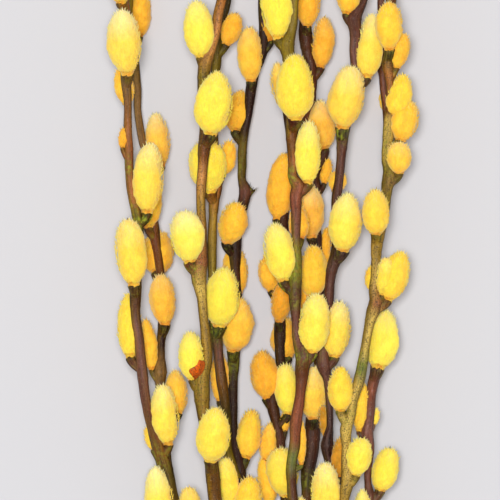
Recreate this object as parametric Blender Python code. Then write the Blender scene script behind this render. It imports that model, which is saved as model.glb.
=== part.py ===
"""A willow branch with catkins, cut and laid on a surface.

Lengths here are in millimetres and become metres in the mesh. The rods run up +Y, side by side
along +X, and +Z is the height above the surface. The layout's zero is on the surface, 195 mm up
the branch from its cut end; the last step puts the origin under the middle of the whole branch.

The branch is one main stem and eight side shoots. Each shoot is an object of its own, its wood and
its catkins joined in one body, with its foot in a socket of the main stem.
"""
import math

import bmesh
import bpy
import numpy as np
from mathutils import Matrix, Vector

MM = 0.001                # metres in a millimetre
CLEARANCE = 0.45          # between a shoot's foot and its socket
CATKIN_RELIEF = 0.05      # how far the scales of a catkin stand out, as a share of its radius
CATKIN_HEAVY_FOOT = 0.12  # how much wider a catkin is near its foot than near its tip
CATKIN_NESTLE = 0.8       # share of a catkin's radius that keeps it off its rod
SPUR_LENGTH = 7.0         # the spur below a catkin leaves its rod this much lower
SPUR_SHARE = 0.23         # radius of a spur's top, as a share of the catkin's width
SPUR_SINK = 1.3           # a catkin's foot stands this deep in its spur
TERMINAL_LENGTH = 22.0    # the catkin at the end of a rod
TERMINAL_WIDTH = 9.5
TERMINAL_SINK = 2.0       # its foot is this deep in the rod
CATKIN_GRIDS = [(12.6, 8, 6), (7.0, 6, 5), (0.0, 6, 4)]   # columns and rows, from a width on
SPUR_SIDES = 5

FRONT, SIDE, BACK = 1, 0, -1   # where a catkin lies on its rod: above it, beside it or below it

# A rod is its route, points of x, y and thickness from its tip to its foot, and its height above
# the surface, given at a few values of y. A catkin is the x and y of its foot, the x and y of its
# tip, its width and the side of the rod it lies on; a seventh value is a longer spur's length.
LEFT_FRONT = {
    "route": [(-66, 290, 3), (-64, 265, 4.5), (-63, 250, 5), (-61, 240, 4), (-61.5, 225, 4),
              (-62, 211.5, 5), (-61, 200, 4), (-61, 187, 4), (-60.5, 176, 4.5), (-60, 161, 4.2),
              (-59, 152, 4), (-56.5, 143, 5.5), (-55.5, 132, 4.5), (-56.5, 120, 4.5),
              (-57, 106.5, 6), (-57, 92, 4.8), (-55.5, 81, 4.8), (-53, 62, 5.2), (-51, 46, 4.8),
              (-47, 27, 5.5), (-44, 17, 6), (-39, 2, 6), (-29, -30, 6), (-15, -75, 6.2),
              (-2, -115, 6.4), (4, -131, 6.6), (10, -142, 6.8)],
    "height": [(300, 52), (60, 50), (17, 41), (-75, 24), (-131, 13), (-142, 12)],
    "catkins": [(-64, 248, -65.5, 275, 14, FRONT), (-61.5, 212, -64.5, 244.5, 16.5, FRONT),
                (-61, 194, -64.5, 216, 9.5, BACK), (-63.5, 175.5, -63, 186, 5, SIDE),
                (-53, 143, -51.5, 178, 14.5, FRONT), (-58, 106.5, -61, 140, 15.5, FRONT),
                (-59.5, 70.5, -61, 103, 12, BACK), (-42.5, 27, -45, 57.5, 13.5, FRONT),
                (-48, 22, -51, 37, 7, BACK), (-42, -14, -46.5, 16, 14.5, FRONT)],
}
LEFT_BACK = {
    "route": [(-60, 278, 2.6), (-58.5, 262, 3.5), (-57.5, 245, 3.5), (-56.5, 230, 3.5),
              (-56.5, 215, 4), (-55.5, 205, 4), (-55, 196, 3.8), (-53, 183, 4), (-50.5, 167, 4),
              (-49, 150, 4), (-48.5, 136, 6), (-47, 127, 4.5), (-45, 114, 4.2), (-44, 100, 4.5),
              (-43.5, 87, 5.5), (-44, 79, 4), (-44, 71, 3.8), (-45, 64, 7), (-45, 58, 5),
              (-43.5, 42, 4.5), (-42, 26, 4.5), (-41.5, 12, 4.8)],
    "height": [(290, 8), (230, 9.5), (150, 18), (60, 30), (12, 39)],
    "catkins": [(-54.5, 231.5, -54, 257, 10.5, BACK), (-44, 168, -47, 193, 11.5, SIDE),
                (-49, 136, -49, 164, 12, FRONT), (-46.5, 114, -47, 134.5, 14.5, BACK),
                (-42.5, 87, -44.5, 113, 12.5, FRONT), (-49, 65.5, -52.5, 90, 8, BACK),
                (-35.5, 43.5, -38, 65, 10.5, SIDE, 11)],
}
LEFT_INNER = {
    "route": [(-7, 298, 3), (-10, 275, 4), (-12, 262, 4.5), (-14, 250, 5), (-16, 242, 5),
              (-17, 234, 5), (-19, 227, 5), (-22, 220, 7), (-23, 214, 6), (-23.5, 200, 5),
              (-22, 181, 7), (-23, 175, 6), (-23.5, 167, 5), (-24, 156, 5), (-24, 143, 4.5),
              (-23.5, 130, 4), (-25, 119, 8.5), (-25.5, 111, 7.5), (-24, 101, 5), (-23, 89, 4.5),
              (-22, 81, 5.5), (-21.5, 71, 5.5), (-24, 61.5, 8.5), (-23.5, 55, 7.5), (-23, 46, 6.5),
              (-21, 30, 6), (-19, 18, 6.5), (-17, 0, 6), (-9, -35, 6), (1, -75, 6),
              (7, -100, 6.2), (13, -113, 6.4)],
    "height": [(300, 55), (200, 53), (40, 50), (0, 45), (-75, 30), (-113, 18.5)],
    "catkins": [(-25, 221, -28, 249, 15, SIDE),
                (-21, 182, -17.5, 213.5, 18.5, FRONT), (-29.5, 118.5, -33.5, 145.5, 17, FRONT),
                (-28, 62, -30, 84, 12, SIDE), (-20, 19.5, -18, 46, 17, FRONT),
                (-28.5, -17.5, -30.5, 6, 9, SIDE), (-12, -46, -17, -20, 11.5, FRONT)],
}
MIDDLE_FRONT = {
    "route": [(-7, 282, 2.8), (-10, 262, 3.8), (-12, 247, 4), (-15, 237, 4.5), (-16.5, 227, 5),
              (-17, 219, 5), (-17.5, 212, 4.5), (-18, 197, 4.5), (-18, 177, 4.5), (-17, 156, 6),
              (-18, 150, 5), (-18.5, 143, 4.2), (-19, 130, 4.8), (-19, 117, 4.5), (-18.5, 100, 4.5),
              (-17.5, 86, 6.5), (-17, 74, 4.2), (-15, 61, 4.2), (-13.5, 49, 4.5), (-11, 23, 5),
              (-7, 10, 5)],
    "height": [(290, 33), (200, 29), (160, 27), (60, 29), (10, 22)],
    "catkins": [(-12.5, 227.5, -7.5, 243, 10, SIDE), (-19.5, 153, -21.5, 180, 18, FRONT),
                (-14, 162.5, -10, 179.5, 9, SIDE), (-16, 86.5, -13.5, 115.5, 16, FRONT),
                (-13.5, 50, -16.5, 71.5, 8, BACK), (-9, -3, -12, 20.5, 10, FRONT)],
}
MIDDLE_BACK = {
    "route": [(8, 288, 2.8), (7, 262, 3.8), (6, 250, 4), (6.5, 238, 4), (7, 229.5, 5.5),
              (5.5, 221, 4), (3, 215, 4), (1, 208.5, 5.5), (-1, 192, 4), (-3, 183, 4.5),
              (-4, 167, 4.5), (-4, 160, 4), (-2.5, 155, 6.5), (-3.5, 148, 5.5), (-6, 137, 5),
              (-7.5, 127, 7), (-7.5, 117, 5), (-6.5, 107, 4), (-6, 100, 4), (-7, 85, 4.5),
              (-8, 74, 6.5), (-8.5, 61, 5), (-8.5, 46, 4.5), (-8, 30, 4.5), (-5.5, 18, 6.5),
              (-5.5, 0, 5.5), (0, -35, 5.5), (6, -70, 5.5), (10, -84, 5.8), (14.5, -93.5, 6)],
    "height": [(290, 16), (120, 14), (60, 15), (10, 20), (-35, 20), (-80, 20), (-94, 22)],
    "catkins": [(10, 229.5, 11, 252, 10, SIDE),
                (0.5, 209, -0.5, 236.5, 11.5, FRONT), (-6.5, 184, -3.5, 204.5, 11.5, BACK),
                (-10.5, 127, -6, 149, 14, FRONT), (-5.5, 102, -7.5, 126, 12, BACK),
                (-8, 74, -4, 100.5, 15.5, FRONT), (-2.5, 19.5, 1, 44, 10.5, SIDE),
                (-1.5, -16, -0.5, 11, 11.5, FRONT)],
    "empty_spurs": [(2, 156)],
}
INNER = {
    "route": [(17, 205, 3.4), (19.5, 187, 4), (20.5, 175, 4), (19, 160, 4.5), (16.5, 141, 6),
              (17, 127, 4.5), (15.5, 115, 4.5), (14, 105, 6), (15, 97, 4.5), (15, 87, 6),
              (15, 74, 5), (15, 65, 4), (13, 57, 4), (12, 49, 6), (13.5, 39, 4.5), (15, 30, 5.5),
              (15.5, 24, 4.5), (16.5, 10, 4.5), (17.5, 0, 4.8), (18, -35, 5), (18, -60, 5.2),
              (18.5, -78, 5.4)],
    "height": [(210, 19), (90, 15), (0, 15), (-35, 17), (-78, 24.5)],
    "catkins": [(14, 140, 18, 173.5, 12.5, SIDE), (11, 104, 8.5, 122, 11, SIDE),
                (16, 87, 17, 108, 11, FRONT), (17, 69, 15.5, 91, 13, BACK),
                (8.5, 50, 5.5, 74, 13.5, SIDE), (19, 42, 17.5, 67.5, 11.5, FRONT),
                (17.5, 33, 17, 42, 4.5, SIDE), (8, 19.5, 11, 38.5, 8, SIDE),
                (18, 1, 14.5, 25, 15, FRONT), (10.5, -3, 6.5, 20.5, 9, BACK)],
}
LEADER = {
    "route": [(25, 300, 3), (24, 280, 4), (23, 265, 4.2), (22, 250, 4.5), (20.5, 234, 5.2),
              (18.5, 228, 8.5), (19, 222, 6), (20.5, 205, 5), (21, 188.5, 6.5), (21, 176, 5.5),
              (21.5, 167, 4.8), (21.5, 161, 4.8), (24, 157, 7), (23, 152, 6), (23, 143, 5),
              (23, 130, 4.2), (23.5, 119, 4.5), (22.5, 109, 7), (22.5, 101, 6), (23, 89, 4.2),
              (23.5, 80, 4.5), (26.5, 72.5, 8.5), (26, 65, 6.5), (25, 52, 5), (23, 39, 6),
              (22, 26, 5.5), (21, 17, 5), (21.5, 7, 5), (22, 0, 5.2), (21.5, -25, 6),
              (20, -50, 7.5), (18.5, -75, 9.5), (17.5, -100, 11), (16, -125, 12.5),
              (14, -150, 14), (11.5, -175, 14.5), (10, -195, 15)],
    "height": [(300, 54), (60, 50), (0, 45), (-75, 28), (-125, 15.5), (-165, 7.6), (-195, 7)],
    "catkins": [(27, 268, 30, 293, 12, SIDE), (14.5, 230.5, 11.5, 262, 16, FRONT),
                (21.5, 190, 21.5, 222, 18.5, FRONT), (28, 157.5, 28.5, 189, 11.5, SIDE),
                (15.5, 110, 11, 138, 14.5, FRONT), (26, 124.5, 24, 146, 11, BACK),
                (30.5, 73, 33.5, 103, 15.5, FRONT), (27, 15, 26, 40, 7, BACK)],
}
RIGHT_INNER = {
    "route": [(27, 288, 2.8), (28, 262, 4.2), (28, 245, 5), (28.5, 234, 6), (29.5, 225, 4.5),
              (31.5, 215.5, 6), (32.5, 205, 3.5), (30.5, 197, 4), (28, 191, 4.5), (28.5, 180, 4),
              (31, 167, 4.2), (33, 156, 5.5), (33, 144, 4.5), (33, 131, 6.5), (34, 124, 4.5),
              (35, 105, 4.5), (35, 85, 4.5), (34, 65, 4.5), (32.5, 50, 5), (31.5, 39.5, 7.5),
              (31, 33, 7), (30, 23, 6.8), (29, 14, 6.5), (28.5, 4, 5.2), (28, -20, 5.2),
              (26, -40, 5.4), (20.5, -57, 5.6)],
    "height": [(290, 20), (120, 20), (40, 22), (0, 24), (-57, 32)],
    "catkins": [(28.5, 236, 29.5, 260, 10, FRONT), (34.5, 216, 36.5, 241.5, 10.5, SIDE),
                (37, 175, 34.5, 199, 12, SIDE, 18), (36, 158, 37.5, 170, 5, BACK),
                (32, 131, 30, 156, 12, FRONT), (37, 105, 38.5, 136, 7, BACK),
                (32, 100.5, 33, 127, 11.5, FRONT), (27, 94, 28.5, 112, 5.5, SIDE),
                (31.5, 40, 32, 66.5, 12, FRONT), (25.5, -24, 25.5, 1, 11, FRONT)],
}
RIGHT_MIDDLE = {
    "route": [(61, 285, 2.6), (58.5, 262, 3.5), (57, 250, 3.5), (52, 241, 8), (52.5, 235, 6),
              (52.5, 231, 5.2), (52, 224, 4.5), (52.5, 218, 4.5), (53, 212, 5), (50, 200, 4.5),
              (46.5, 185.5, 8), (46, 178, 6), (45.5, 170, 5), (44.5, 160, 4.5), (43.5, 152, 5),
              (43.5, 137, 5), (44, 124, 7.5), (41.5, 117, 5.8), (40, 109, 5), (39.5, 102, 5),
              (38.5, 87, 5), (36.5, 75, 5.8), (37, 67, 7), (38.5, 61, 4), (39, 55, 3.5),
              (40.5, 46, 3.5), (41, 37, 3.5), (38.5, 27, 6.5), (39.5, 19, 4), (40, 7, 4.2),
              (40.5, 0, 4.5), (36.5, -30, 5), (29, -56, 5.4), (21, -70, 5.6)],
    "height": [(290, 40), (60, 37), (0, 36), (-56, 31), (-70, 29)],
    "catkins": [(49, 243, 50.5, 268, 12, FRONT), (57.5, 210.5, 60.5, 243, 13.5, SIDE),
                (46, 186, 50, 217.5, 16, FRONT), (43, 154, 44.5, 168, 9, BACK),
                (47.5, 125, 49.5, 153.5, 15.5, FRONT), (43, 70, 44.5, 99, 11, SIDE),
                (38.5, 30, 36.5, 47, 6, BACK), (45, 11, 45.5, 31, 9, SIDE),
                (38, -9, 37.5, 18.5, 14, FRONT), (40, -24, 39.5, 2, 10.5, FRONT)],
}
RIGHT_FRONT = {
    "route": [(75, 296, 3), (73, 275, 4), (71.5, 262, 4.5), (70.5, 250, 5.5), (70, 235, 4.5),
              (70, 224, 5), (69, 219, 6), (70, 207, 4), (70, 200, 4), (69.5, 190, 5.5),
              (69, 181, 5.5), (68, 172, 4.5), (70.5, 162, 8), (69.5, 157, 6), (69, 151, 4.5),
              (67.5, 142, 4.5), (64, 132, 7), (63, 124, 5.2), (63, 117, 5), (62.5, 111, 4.8),
              (62, 105, 5.5), (63, 99, 7.5), (60.5, 92, 5.2), (59, 85, 4.8), (58, 77, 4.5),
              (57, 71, 5), (55.5, 61, 5.5), (51.5, 50, 4.5), (50, 42, 5), (48, 36, 6),
              (48, 27, 4.5), (47.5, 21, 4), (49, 12, 7), (47, 0, 4.8), (48.5, -14, 5),
              (45.5, -38, 5.4), (38, -62, 5.8), (29, -83, 6), (21.5, -95.5, 6.2)],
    "height": [(300, 50), (60, 47), (0, 45), (-62, 33), (-95, 23)],
    "catkins": [(75, 262, 80, 286, 11, SIDE), (69.5, 225, 69, 248.5, 12, FRONT),
                (72, 215.5, 76, 232.5, 8.5, SIDE), (71, 191, 75.5, 212, 9.5, SIDE),
                (73.5, 179, 79, 198.5, 10.5, SIDE), (74, 163, 74, 178.5, 12, FRONT),
                (63, 132.5, 63, 155, 13, FRONT), (67.5, 100, 75, 123.5, 13.5, SIDE),
                (66, 102, 68, 121, 8, FRONT), (60, 104, 59, 117.5, 7, BACK),
                (46, 44, 45, 66, 12.5, SIDE), (53.5, 12.5, 56, 31, 12, FRONT),
                (48, -34, 50, -9, 11, FRONT)],
}
RIGHT_BACK = {
    "route": [(57, 276, 2.6), (60.5, 262, 3.5), (62, 250, 3.5), (64.5, 240, 3.5), (66.5, 222, 4),
              (67, 210, 4), (67, 192, 4), (68, 175, 4), (68.5, 157, 4), (66, 137, 4), (63, 121, 4),
              (62, 100, 4), (62.5, 80, 4.2), (63.5, 65, 6), (61.5, 55, 5), (60.5, 42, 4.5),
              (58.5, 33, 6.5), (60, 27, 4), (59, 15, 3.8), (59, 8, 3.5), (60, 2, 5.5),
              (59, -20, 5.5), (52, -60, 5.8), (39, -100, 6.2), (27, -126, 6.5), (19, -137.5, 6.8)],
    "height": [(280, 9), (190, 9.5), (120, 16), (65, 34), (40, 37), (0, 34), (-60, 25),
               (-126, 13), (-138, 12)],
    "catkins": [(66, 216, 64.5, 236, 9, BACK), (68.5, 191, 67, 212, 9.5, BACK),
                (64, 65, 68, 94.5, 14.5, FRONT), (56, 33.5, 58.5, 57.5, 7.5, SIDE),
                (60, 36, 61.5, 48.5, 5.5, BACK), (65, 4.5, 69.5, 26, 13, SIDE),
                (57, -22, 56, 5, 10, FRONT), (58, -50, 63, -25, 11, SIDE)],
}

# Each object, with the rods that it is made of. Two pairs of rods grow together into a fork.
SHOOTS = {
    "left_fork": [LEFT_FRONT, LEFT_BACK],
    "left_rod": [LEFT_INNER],
    "middle_fork": [MIDDLE_FRONT, MIDDLE_BACK],
    "inner_rod": [INNER],
    "right_inner_rod": [RIGHT_INNER],
    "right_middle_rod": [RIGHT_MIDDLE],
    "right_front_rod": [RIGHT_FRONT],
    "right_back_rod": [RIGHT_BACK],
}
SOCKET_POINTS = 3         # a shoot's foot is the last points of its first or only rooted rod

BARK_COLOURS = {
    "main_stem": (0.16, 0.07, 0.045),
    "left_fork": (0.13, 0.06, 0.04),
    "left_rod": (0.24, 0.15, 0.06),
    "middle_fork": (0.09, 0.06, 0.03),
    "inner_rod": (0.06, 0.035, 0.02),
    "right_inner_rod": (0.07, 0.035, 0.035),
    "right_middle_rod": (0.11, 0.06, 0.06),
    "right_front_rod": (0.22, 0.17, 0.07),
    "right_back_rod": (0.11, 0.05, 0.035),
}


def height_at(profile, y):
    """Height above the surface at y: smoothstep between the profile's points, level past its ends."""
    ys, zs = zip(*sorted(profile))
    if y <= ys[0]:
        return zs[0]
    if y >= ys[-1]:
        return zs[-1]
    i = int(np.searchsorted(ys, y, side="right")) - 1
    share = (y - ys[i]) / (ys[i + 1] - ys[i])
    return zs[i] + (zs[i + 1] - zs[i]) * share * share * (3 - 2 * share)


def rod_at(rod, y):
    """The rod's axis point and radius at y."""
    route = sorted(rod["route"], key=lambda point: point[1])
    xs, ys, widths = zip(*route)
    x = float(np.interp(y, ys, xs))
    return Vector((x, y, height_at(rod["height"], y))), float(np.interp(y, ys, widths)) / 2


def link(name, mesh, collection):
    """A new object for a mesh, in a collection."""
    made = bpy.data.objects.new(name, mesh)
    collection.objects.link(made)
    return made


def tube(name, points, collection, resolution=1):
    """A closed tube of 4 + 2 resolution sides through points of position and radius."""
    curve = bpy.data.curves.new(name, "CURVE")
    curve.dimensions = "3D"
    curve.bevel_depth = MM
    curve.bevel_resolution = resolution
    curve.use_fill_caps = True
    spline = curve.splines.new("POLY")
    spline.points.add(len(points) - 1)
    for spot, (position, radius) in zip(spline.points, points):
        spot.co = (*(position * MM), 1)
        spot.radius = radius
    wire = link(name + "_curve", curve, collection)
    bpy.context.view_layer.update()
    mesh = bpy.data.meshes.new_from_object(wire.evaluated_get(bpy.context.evaluated_depsgraph_get()))
    bpy.data.objects.remove(wire)
    bm = bmesh.new()
    bm.from_mesh(mesh)
    bmesh.ops.remove_doubles(bm, verts=bm.verts, dist=0.00001)
    bm.to_mesh(mesh)
    bm.free()
    return link(name, mesh, collection)


def along(foot, tip):
    """A frame at the foot whose Z points to the tip."""
    turn = (tip - foot).to_track_quat("Z", "Y").to_matrix().to_4x4()
    return Matrix.Translation(foot) @ turn


def catkin(name, foot, tip, width, collection):
    """An egg-shaped catkin with staggered scales, from foot to tip.

    With p the angle from the tip, the girth is sin(p) (1 - h cos(p)), and every second
    scale of each row stands out, every other one in the next row.
    """
    columns, rows = next(grid[1:] for grid in CATKIN_GRIDS if width >= grid[0])
    length = (tip - foot).length
    bm = bmesh.new()
    bmesh.ops.create_uvsphere(bm, u_segments=columns, v_segments=rows, radius=1)
    for corner in bm.verts:
        p = math.acos(max(-1.0, min(1.0, corner.co.z)))
        around = math.atan2(corner.co.y, corner.co.x)
        row = round(p / math.pi * rows)
        column = round(around / math.tau * columns)
        scale = 1 + CATKIN_RELIEF * (1 if (row + column) % 2 else -1)
        girth = width / 2 * math.sin(p) * (1 - CATKIN_HEAVY_FOOT * math.cos(p)) * scale
        corner.co = (girth * math.cos(around), girth * math.sin(around),
                     length * (1 + math.cos(p)) / 2)
    bm.transform(Matrix.Scale(MM, 4) @ along(foot, tip))
    mesh = bpy.data.meshes.new(name)
    bm.to_mesh(mesh)
    bm.free()
    return link(name, mesh, collection)


def spur(name, start, end, start_radius, end_radius, collection):
    """A short spur that widens from the rod's axis to a catkin's foot."""
    bm = bmesh.new()
    depth = (end - start).length
    bmesh.ops.create_cone(bm, cap_ends=True, segments=SPUR_SIDES, radius1=start_radius,
                          radius2=end_radius, depth=depth)
    bm.transform(Matrix.Scale(MM, 4) @ along(start, end) @ Matrix.Translation((0, 0, depth / 2)))
    mesh = bpy.data.meshes.new(name)
    bm.to_mesh(mesh)
    bm.free()
    return link(name, mesh, collection)


def catkin_ends(rod, foot_x, foot_y, tip_x, tip_y, width, side):
    """Foot and tip of a catkin that lies against its rod on the given side."""
    middle_x, middle_y = (foot_x + tip_x) / 2, (foot_y + tip_y) / 2
    axis, radius = rod_at(rod, middle_y)
    reach = radius + CATKIN_NESTLE * width / 2
    lift = side * math.sqrt(max(0, reach ** 2 - (middle_x - axis.x) ** 2))
    foot_height = rod_at(rod, foot_y)[0].z + 0.7 * lift
    tip_height = rod_at(rod, tip_y)[0].z + 1.25 * lift
    return Vector((foot_x, foot_y, foot_height)), Vector((tip_x, tip_y, tip_height))


def grow(name, rod, collection):
    """The tube, spurs and catkins of one rod, as loose closed bodies."""
    points = [rod_at(rod, y) for x, y, thickness in rod["route"]]
    tube(name + "_wood", points, collection, 2 if rod is LEADER else 1)
    end = points[0][0]
    growth = (end - points[1][0]).normalized()
    catkin(name + "_end", end - growth * TERMINAL_SINK, end + growth * TERMINAL_LENGTH,
           TERMINAL_WIDTH, collection)
    for number, (fx, fy, tx, ty, width, side, *rest) in enumerate(rod["catkins"]):
        foot, tip = catkin_ends(rod, fx, fy, tx, ty, width, side)
        catkin(f"{name}_catkin_{number}", foot, tip, width, collection)
        base, radius = rod_at(rod, fy - (rest[0] if rest else SPUR_LENGTH))
        top = foot + (tip - foot).normalized() * SPUR_SINK
        top_radius = max(SPUR_SHARE * width, 0.9 * radius)
        spur(f"{name}_spur_{number}", base, top, 0.8 * radius, top_radius, collection)
    for number, (x, y) in enumerate(rod.get("empty_spurs", [])):
        base, radius = rod_at(rod, y - SPUR_LENGTH)
        top = Vector((x, y, base.z))
        spur(f"{name}_stub_{number}", base, top, 0.8 * radius, radius, collection)


def boolean(base, operation, solver, target=None, collection=None):
    """Apply one Boolean modifier to an object's mesh."""
    modifier = base.modifiers.new("join", "BOOLEAN")
    modifier.operation = operation
    modifier.solver = solver
    if collection:
        modifier.operand_type = "COLLECTION"
        modifier.collection = collection
    else:
        modifier.object = target
    bpy.context.view_layer.update()
    mesh = bpy.data.meshes.new_from_object(base.evaluated_get(bpy.context.evaluated_depsgraph_get()))
    base.modifiers.remove(modifier)
    base.data = mesh


def empty_out(collection):
    """Remove a collection with its objects."""
    for thing in list(collection.objects):
        bpy.data.objects.remove(thing)
    bpy.data.collections.remove(collection)


def joined(name, rods, home):
    """One object for a shoot: a Boolean union of its rods, spurs and catkins."""
    loose = bpy.data.collections.new(name + "_loose")
    bpy.context.scene.collection.children.link(loose)
    for number, rod in enumerate(rods):
        grow(f"{name}_{number}", rod, loose)
    first = loose.objects[0]
    loose.objects.unlink(first)
    home.objects.link(first)
    boolean(first, "UNION", "MANIFOLD", collection=loose)
    keep_largest(first.data)
    empty_out(loose)
    first.name = name
    first.data.name = name
    return first


def foot_cutter(name, rods, collection):
    """A tube a clearance wider than a shoot's foot, for its socket."""
    rod = min(rods, key=lambda each: each["route"][-1][1])
    points = [rod_at(rod, y) for x, y, thickness in rod["route"][-SOCKET_POINTS:]]
    last, before = points[-1][0], points[-2][0]
    grown = [(position, radius + CLEARANCE) for position, radius in points]
    grown[-1] = (last + (last - before).normalized() * CLEARANCE, grown[-1][1])
    return tube(name + "_socket", grown, collection)


def keep_largest(mesh):
    """Drop all but the largest body of a mesh: scraps, and hollows that joining sealed."""
    bm = bmesh.new()
    bm.from_mesh(mesh)
    waiting = set(bm.verts)
    bodies = []
    while waiting:
        edge_of_search = [waiting.pop()]
        body = list(edge_of_search)
        while edge_of_search:
            corner = edge_of_search.pop()
            fresh = [edge.other_vert(corner) for edge in corner.link_edges]
            fresh = [other for other in fresh if other in waiting]
            waiting.difference_update(fresh)
            body += fresh
            edge_of_search += fresh
        bodies.append(body)
    bodies.sort(key=len)
    bmesh.ops.delete(bm, geom=[corner for body in bodies[:-1] for corner in body], context="VERTS")
    bm.to_mesh(mesh)
    bm.free()


def bark(name):
    """The bark's material for one object."""
    material = bpy.data.materials.new(name + "_bark")
    material.use_nodes = True
    shader = material.node_tree.nodes["Principled BSDF"]
    shader.inputs["Base Color"].default_value = (*BARK_COLOURS[name], 1)
    shader.inputs["Roughness"].default_value = 0.6
    shader.inputs["Metallic"].default_value = 0
    return material


def main():
    for thing in list(bpy.data.objects):
        bpy.data.objects.remove(thing)
    branch = bpy.data.collections.new("willow_branch")
    cutters = bpy.data.collections.new("cutters")
    for collection in (branch, cutters):
        bpy.context.scene.collection.children.link(collection)

    stem = joined("main_stem", [LEADER], branch)
    shoots = [joined(name, rods, branch) for name, rods in SHOOTS.items()]
    for name, rods in SHOOTS.items():
        boolean(stem, "DIFFERENCE", "MANIFOLD", target=foot_cutter(name, rods, cutters))

    floor_mesh = bpy.data.meshes.new("floor")
    bm = bmesh.new()
    bmesh.ops.create_cube(bm, size=1)
    bm.transform(Matrix.Translation((0, 0, -0.5)))
    bm.to_mesh(floor_mesh)
    bm.free()
    floor = link("floor", floor_mesh, cutters)
    for thing in [stem, *shoots]:
        boolean(thing, "DIFFERENCE", "MANIFOLD", target=floor)
        thing.data.materials.clear()
        thing.data.materials.append(bark(thing.name))
    empty_out(cutters)

    corners = np.array([corner.co for thing in branch.objects for corner in thing.data.vertices])
    middle = (corners.min(axis=0) + corners.max(axis=0)) / 2
    origin = bpy.data.objects.new("branch_origin", None)
    origin.location = (-middle[0], -middle[1], 0)
    branch.objects.link(origin)
    for thing in [stem, *shoots]:
        thing.parent = origin


main()
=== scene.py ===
# %% [markdown]
# # A willow branch with furry catkins
# In early spring a willow rod carries soft catkins, each one sitting in a small cup of bark that the
# bud's scale has left open. This lesson grows the whole branch from numbers: a rod is a tube along a
# smooth line, a cup is a short tube that widens, and a catkin is a heavy-footed egg covered in tufts.
# Loading the frame first gives every piece one shared place to sit in.

import bpy
import numpy as np
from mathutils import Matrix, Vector


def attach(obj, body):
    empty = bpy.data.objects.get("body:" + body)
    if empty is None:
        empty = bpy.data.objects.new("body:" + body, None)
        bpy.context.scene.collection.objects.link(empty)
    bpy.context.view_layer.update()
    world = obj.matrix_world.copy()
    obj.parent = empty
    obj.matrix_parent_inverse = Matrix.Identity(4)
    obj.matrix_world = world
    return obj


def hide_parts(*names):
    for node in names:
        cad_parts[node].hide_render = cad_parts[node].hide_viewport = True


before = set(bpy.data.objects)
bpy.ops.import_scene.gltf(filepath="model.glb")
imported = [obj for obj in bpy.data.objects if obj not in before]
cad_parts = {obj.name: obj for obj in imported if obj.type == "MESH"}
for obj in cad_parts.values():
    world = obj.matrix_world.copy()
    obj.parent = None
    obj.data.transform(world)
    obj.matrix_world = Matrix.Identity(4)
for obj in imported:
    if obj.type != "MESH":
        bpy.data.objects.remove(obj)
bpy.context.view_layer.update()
print("nodes:", ", ".join(sorted(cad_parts)))

# %% [markdown]
# ## Where the numbers live
# The rods are laid out in millimetres on a sheet: x runs across, y runs along the branch from 0 at the
# lower edge of the picture to 250 at its upper edge, and z is the height above the table. One shift
# takes the sheet to the frame. Keeping the sheet's own numbers makes each rod easy to compare with the
# picture.

# %% The sheet's place in the frame
SHEET_SHIFT = np.array([-5.336, -63.206, 0.0])
PICTURE_SIDE = 250.0
PICTURE_MIDDLE = (0.0, 125.0)
MEAN_ROD_HEIGHT = 40.0
UP = np.array([0.0, 0.0, 1.0])
FRONT, SIDE, BACK = 1, 0, -1


def to_frame(points):
    """Millimetres on the sheet, shifted, and divided by a thousand to give metres."""
    return (np.asarray(points, dtype=float) + SHEET_SHIFT) / 1000.0


# %% [markdown]
# ## The camera
# The branch lies on a table and is seen from straight above, with its tips at the top of the picture.
# A long lens from far away keeps near and far rods at nearly one scale, as a studio photographer would.
# The lens length follows from similar triangles: film width over picture width times the distance.

# %% Camera
CAMERA_HEIGHT = 5.0
FILM_WIDTH = 36.0
camera_data = bpy.data.cameras.new("overhead_camera")
camera_data.sensor_width = FILM_WIDTH
camera_data.lens = FILM_WIDTH * (CAMERA_HEIGHT - MEAN_ROD_HEIGHT / 1000.0) / (PICTURE_SIDE / 1000.0)
camera_data.clip_end = 100.0
camera = bpy.data.objects.new("overhead_camera", camera_data)
middle = to_frame([*PICTURE_MIDDLE, 0.0])
camera.location = (middle[0], middle[1], CAMERA_HEIGHT)
bpy.context.scene.collection.objects.link(camera)
bpy.context.scene.camera = camera
print(f"lens {camera_data.lens:.0f} mm, looking down at x {middle[0]:.4f}, y {middle[1]:.4f}")
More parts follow.
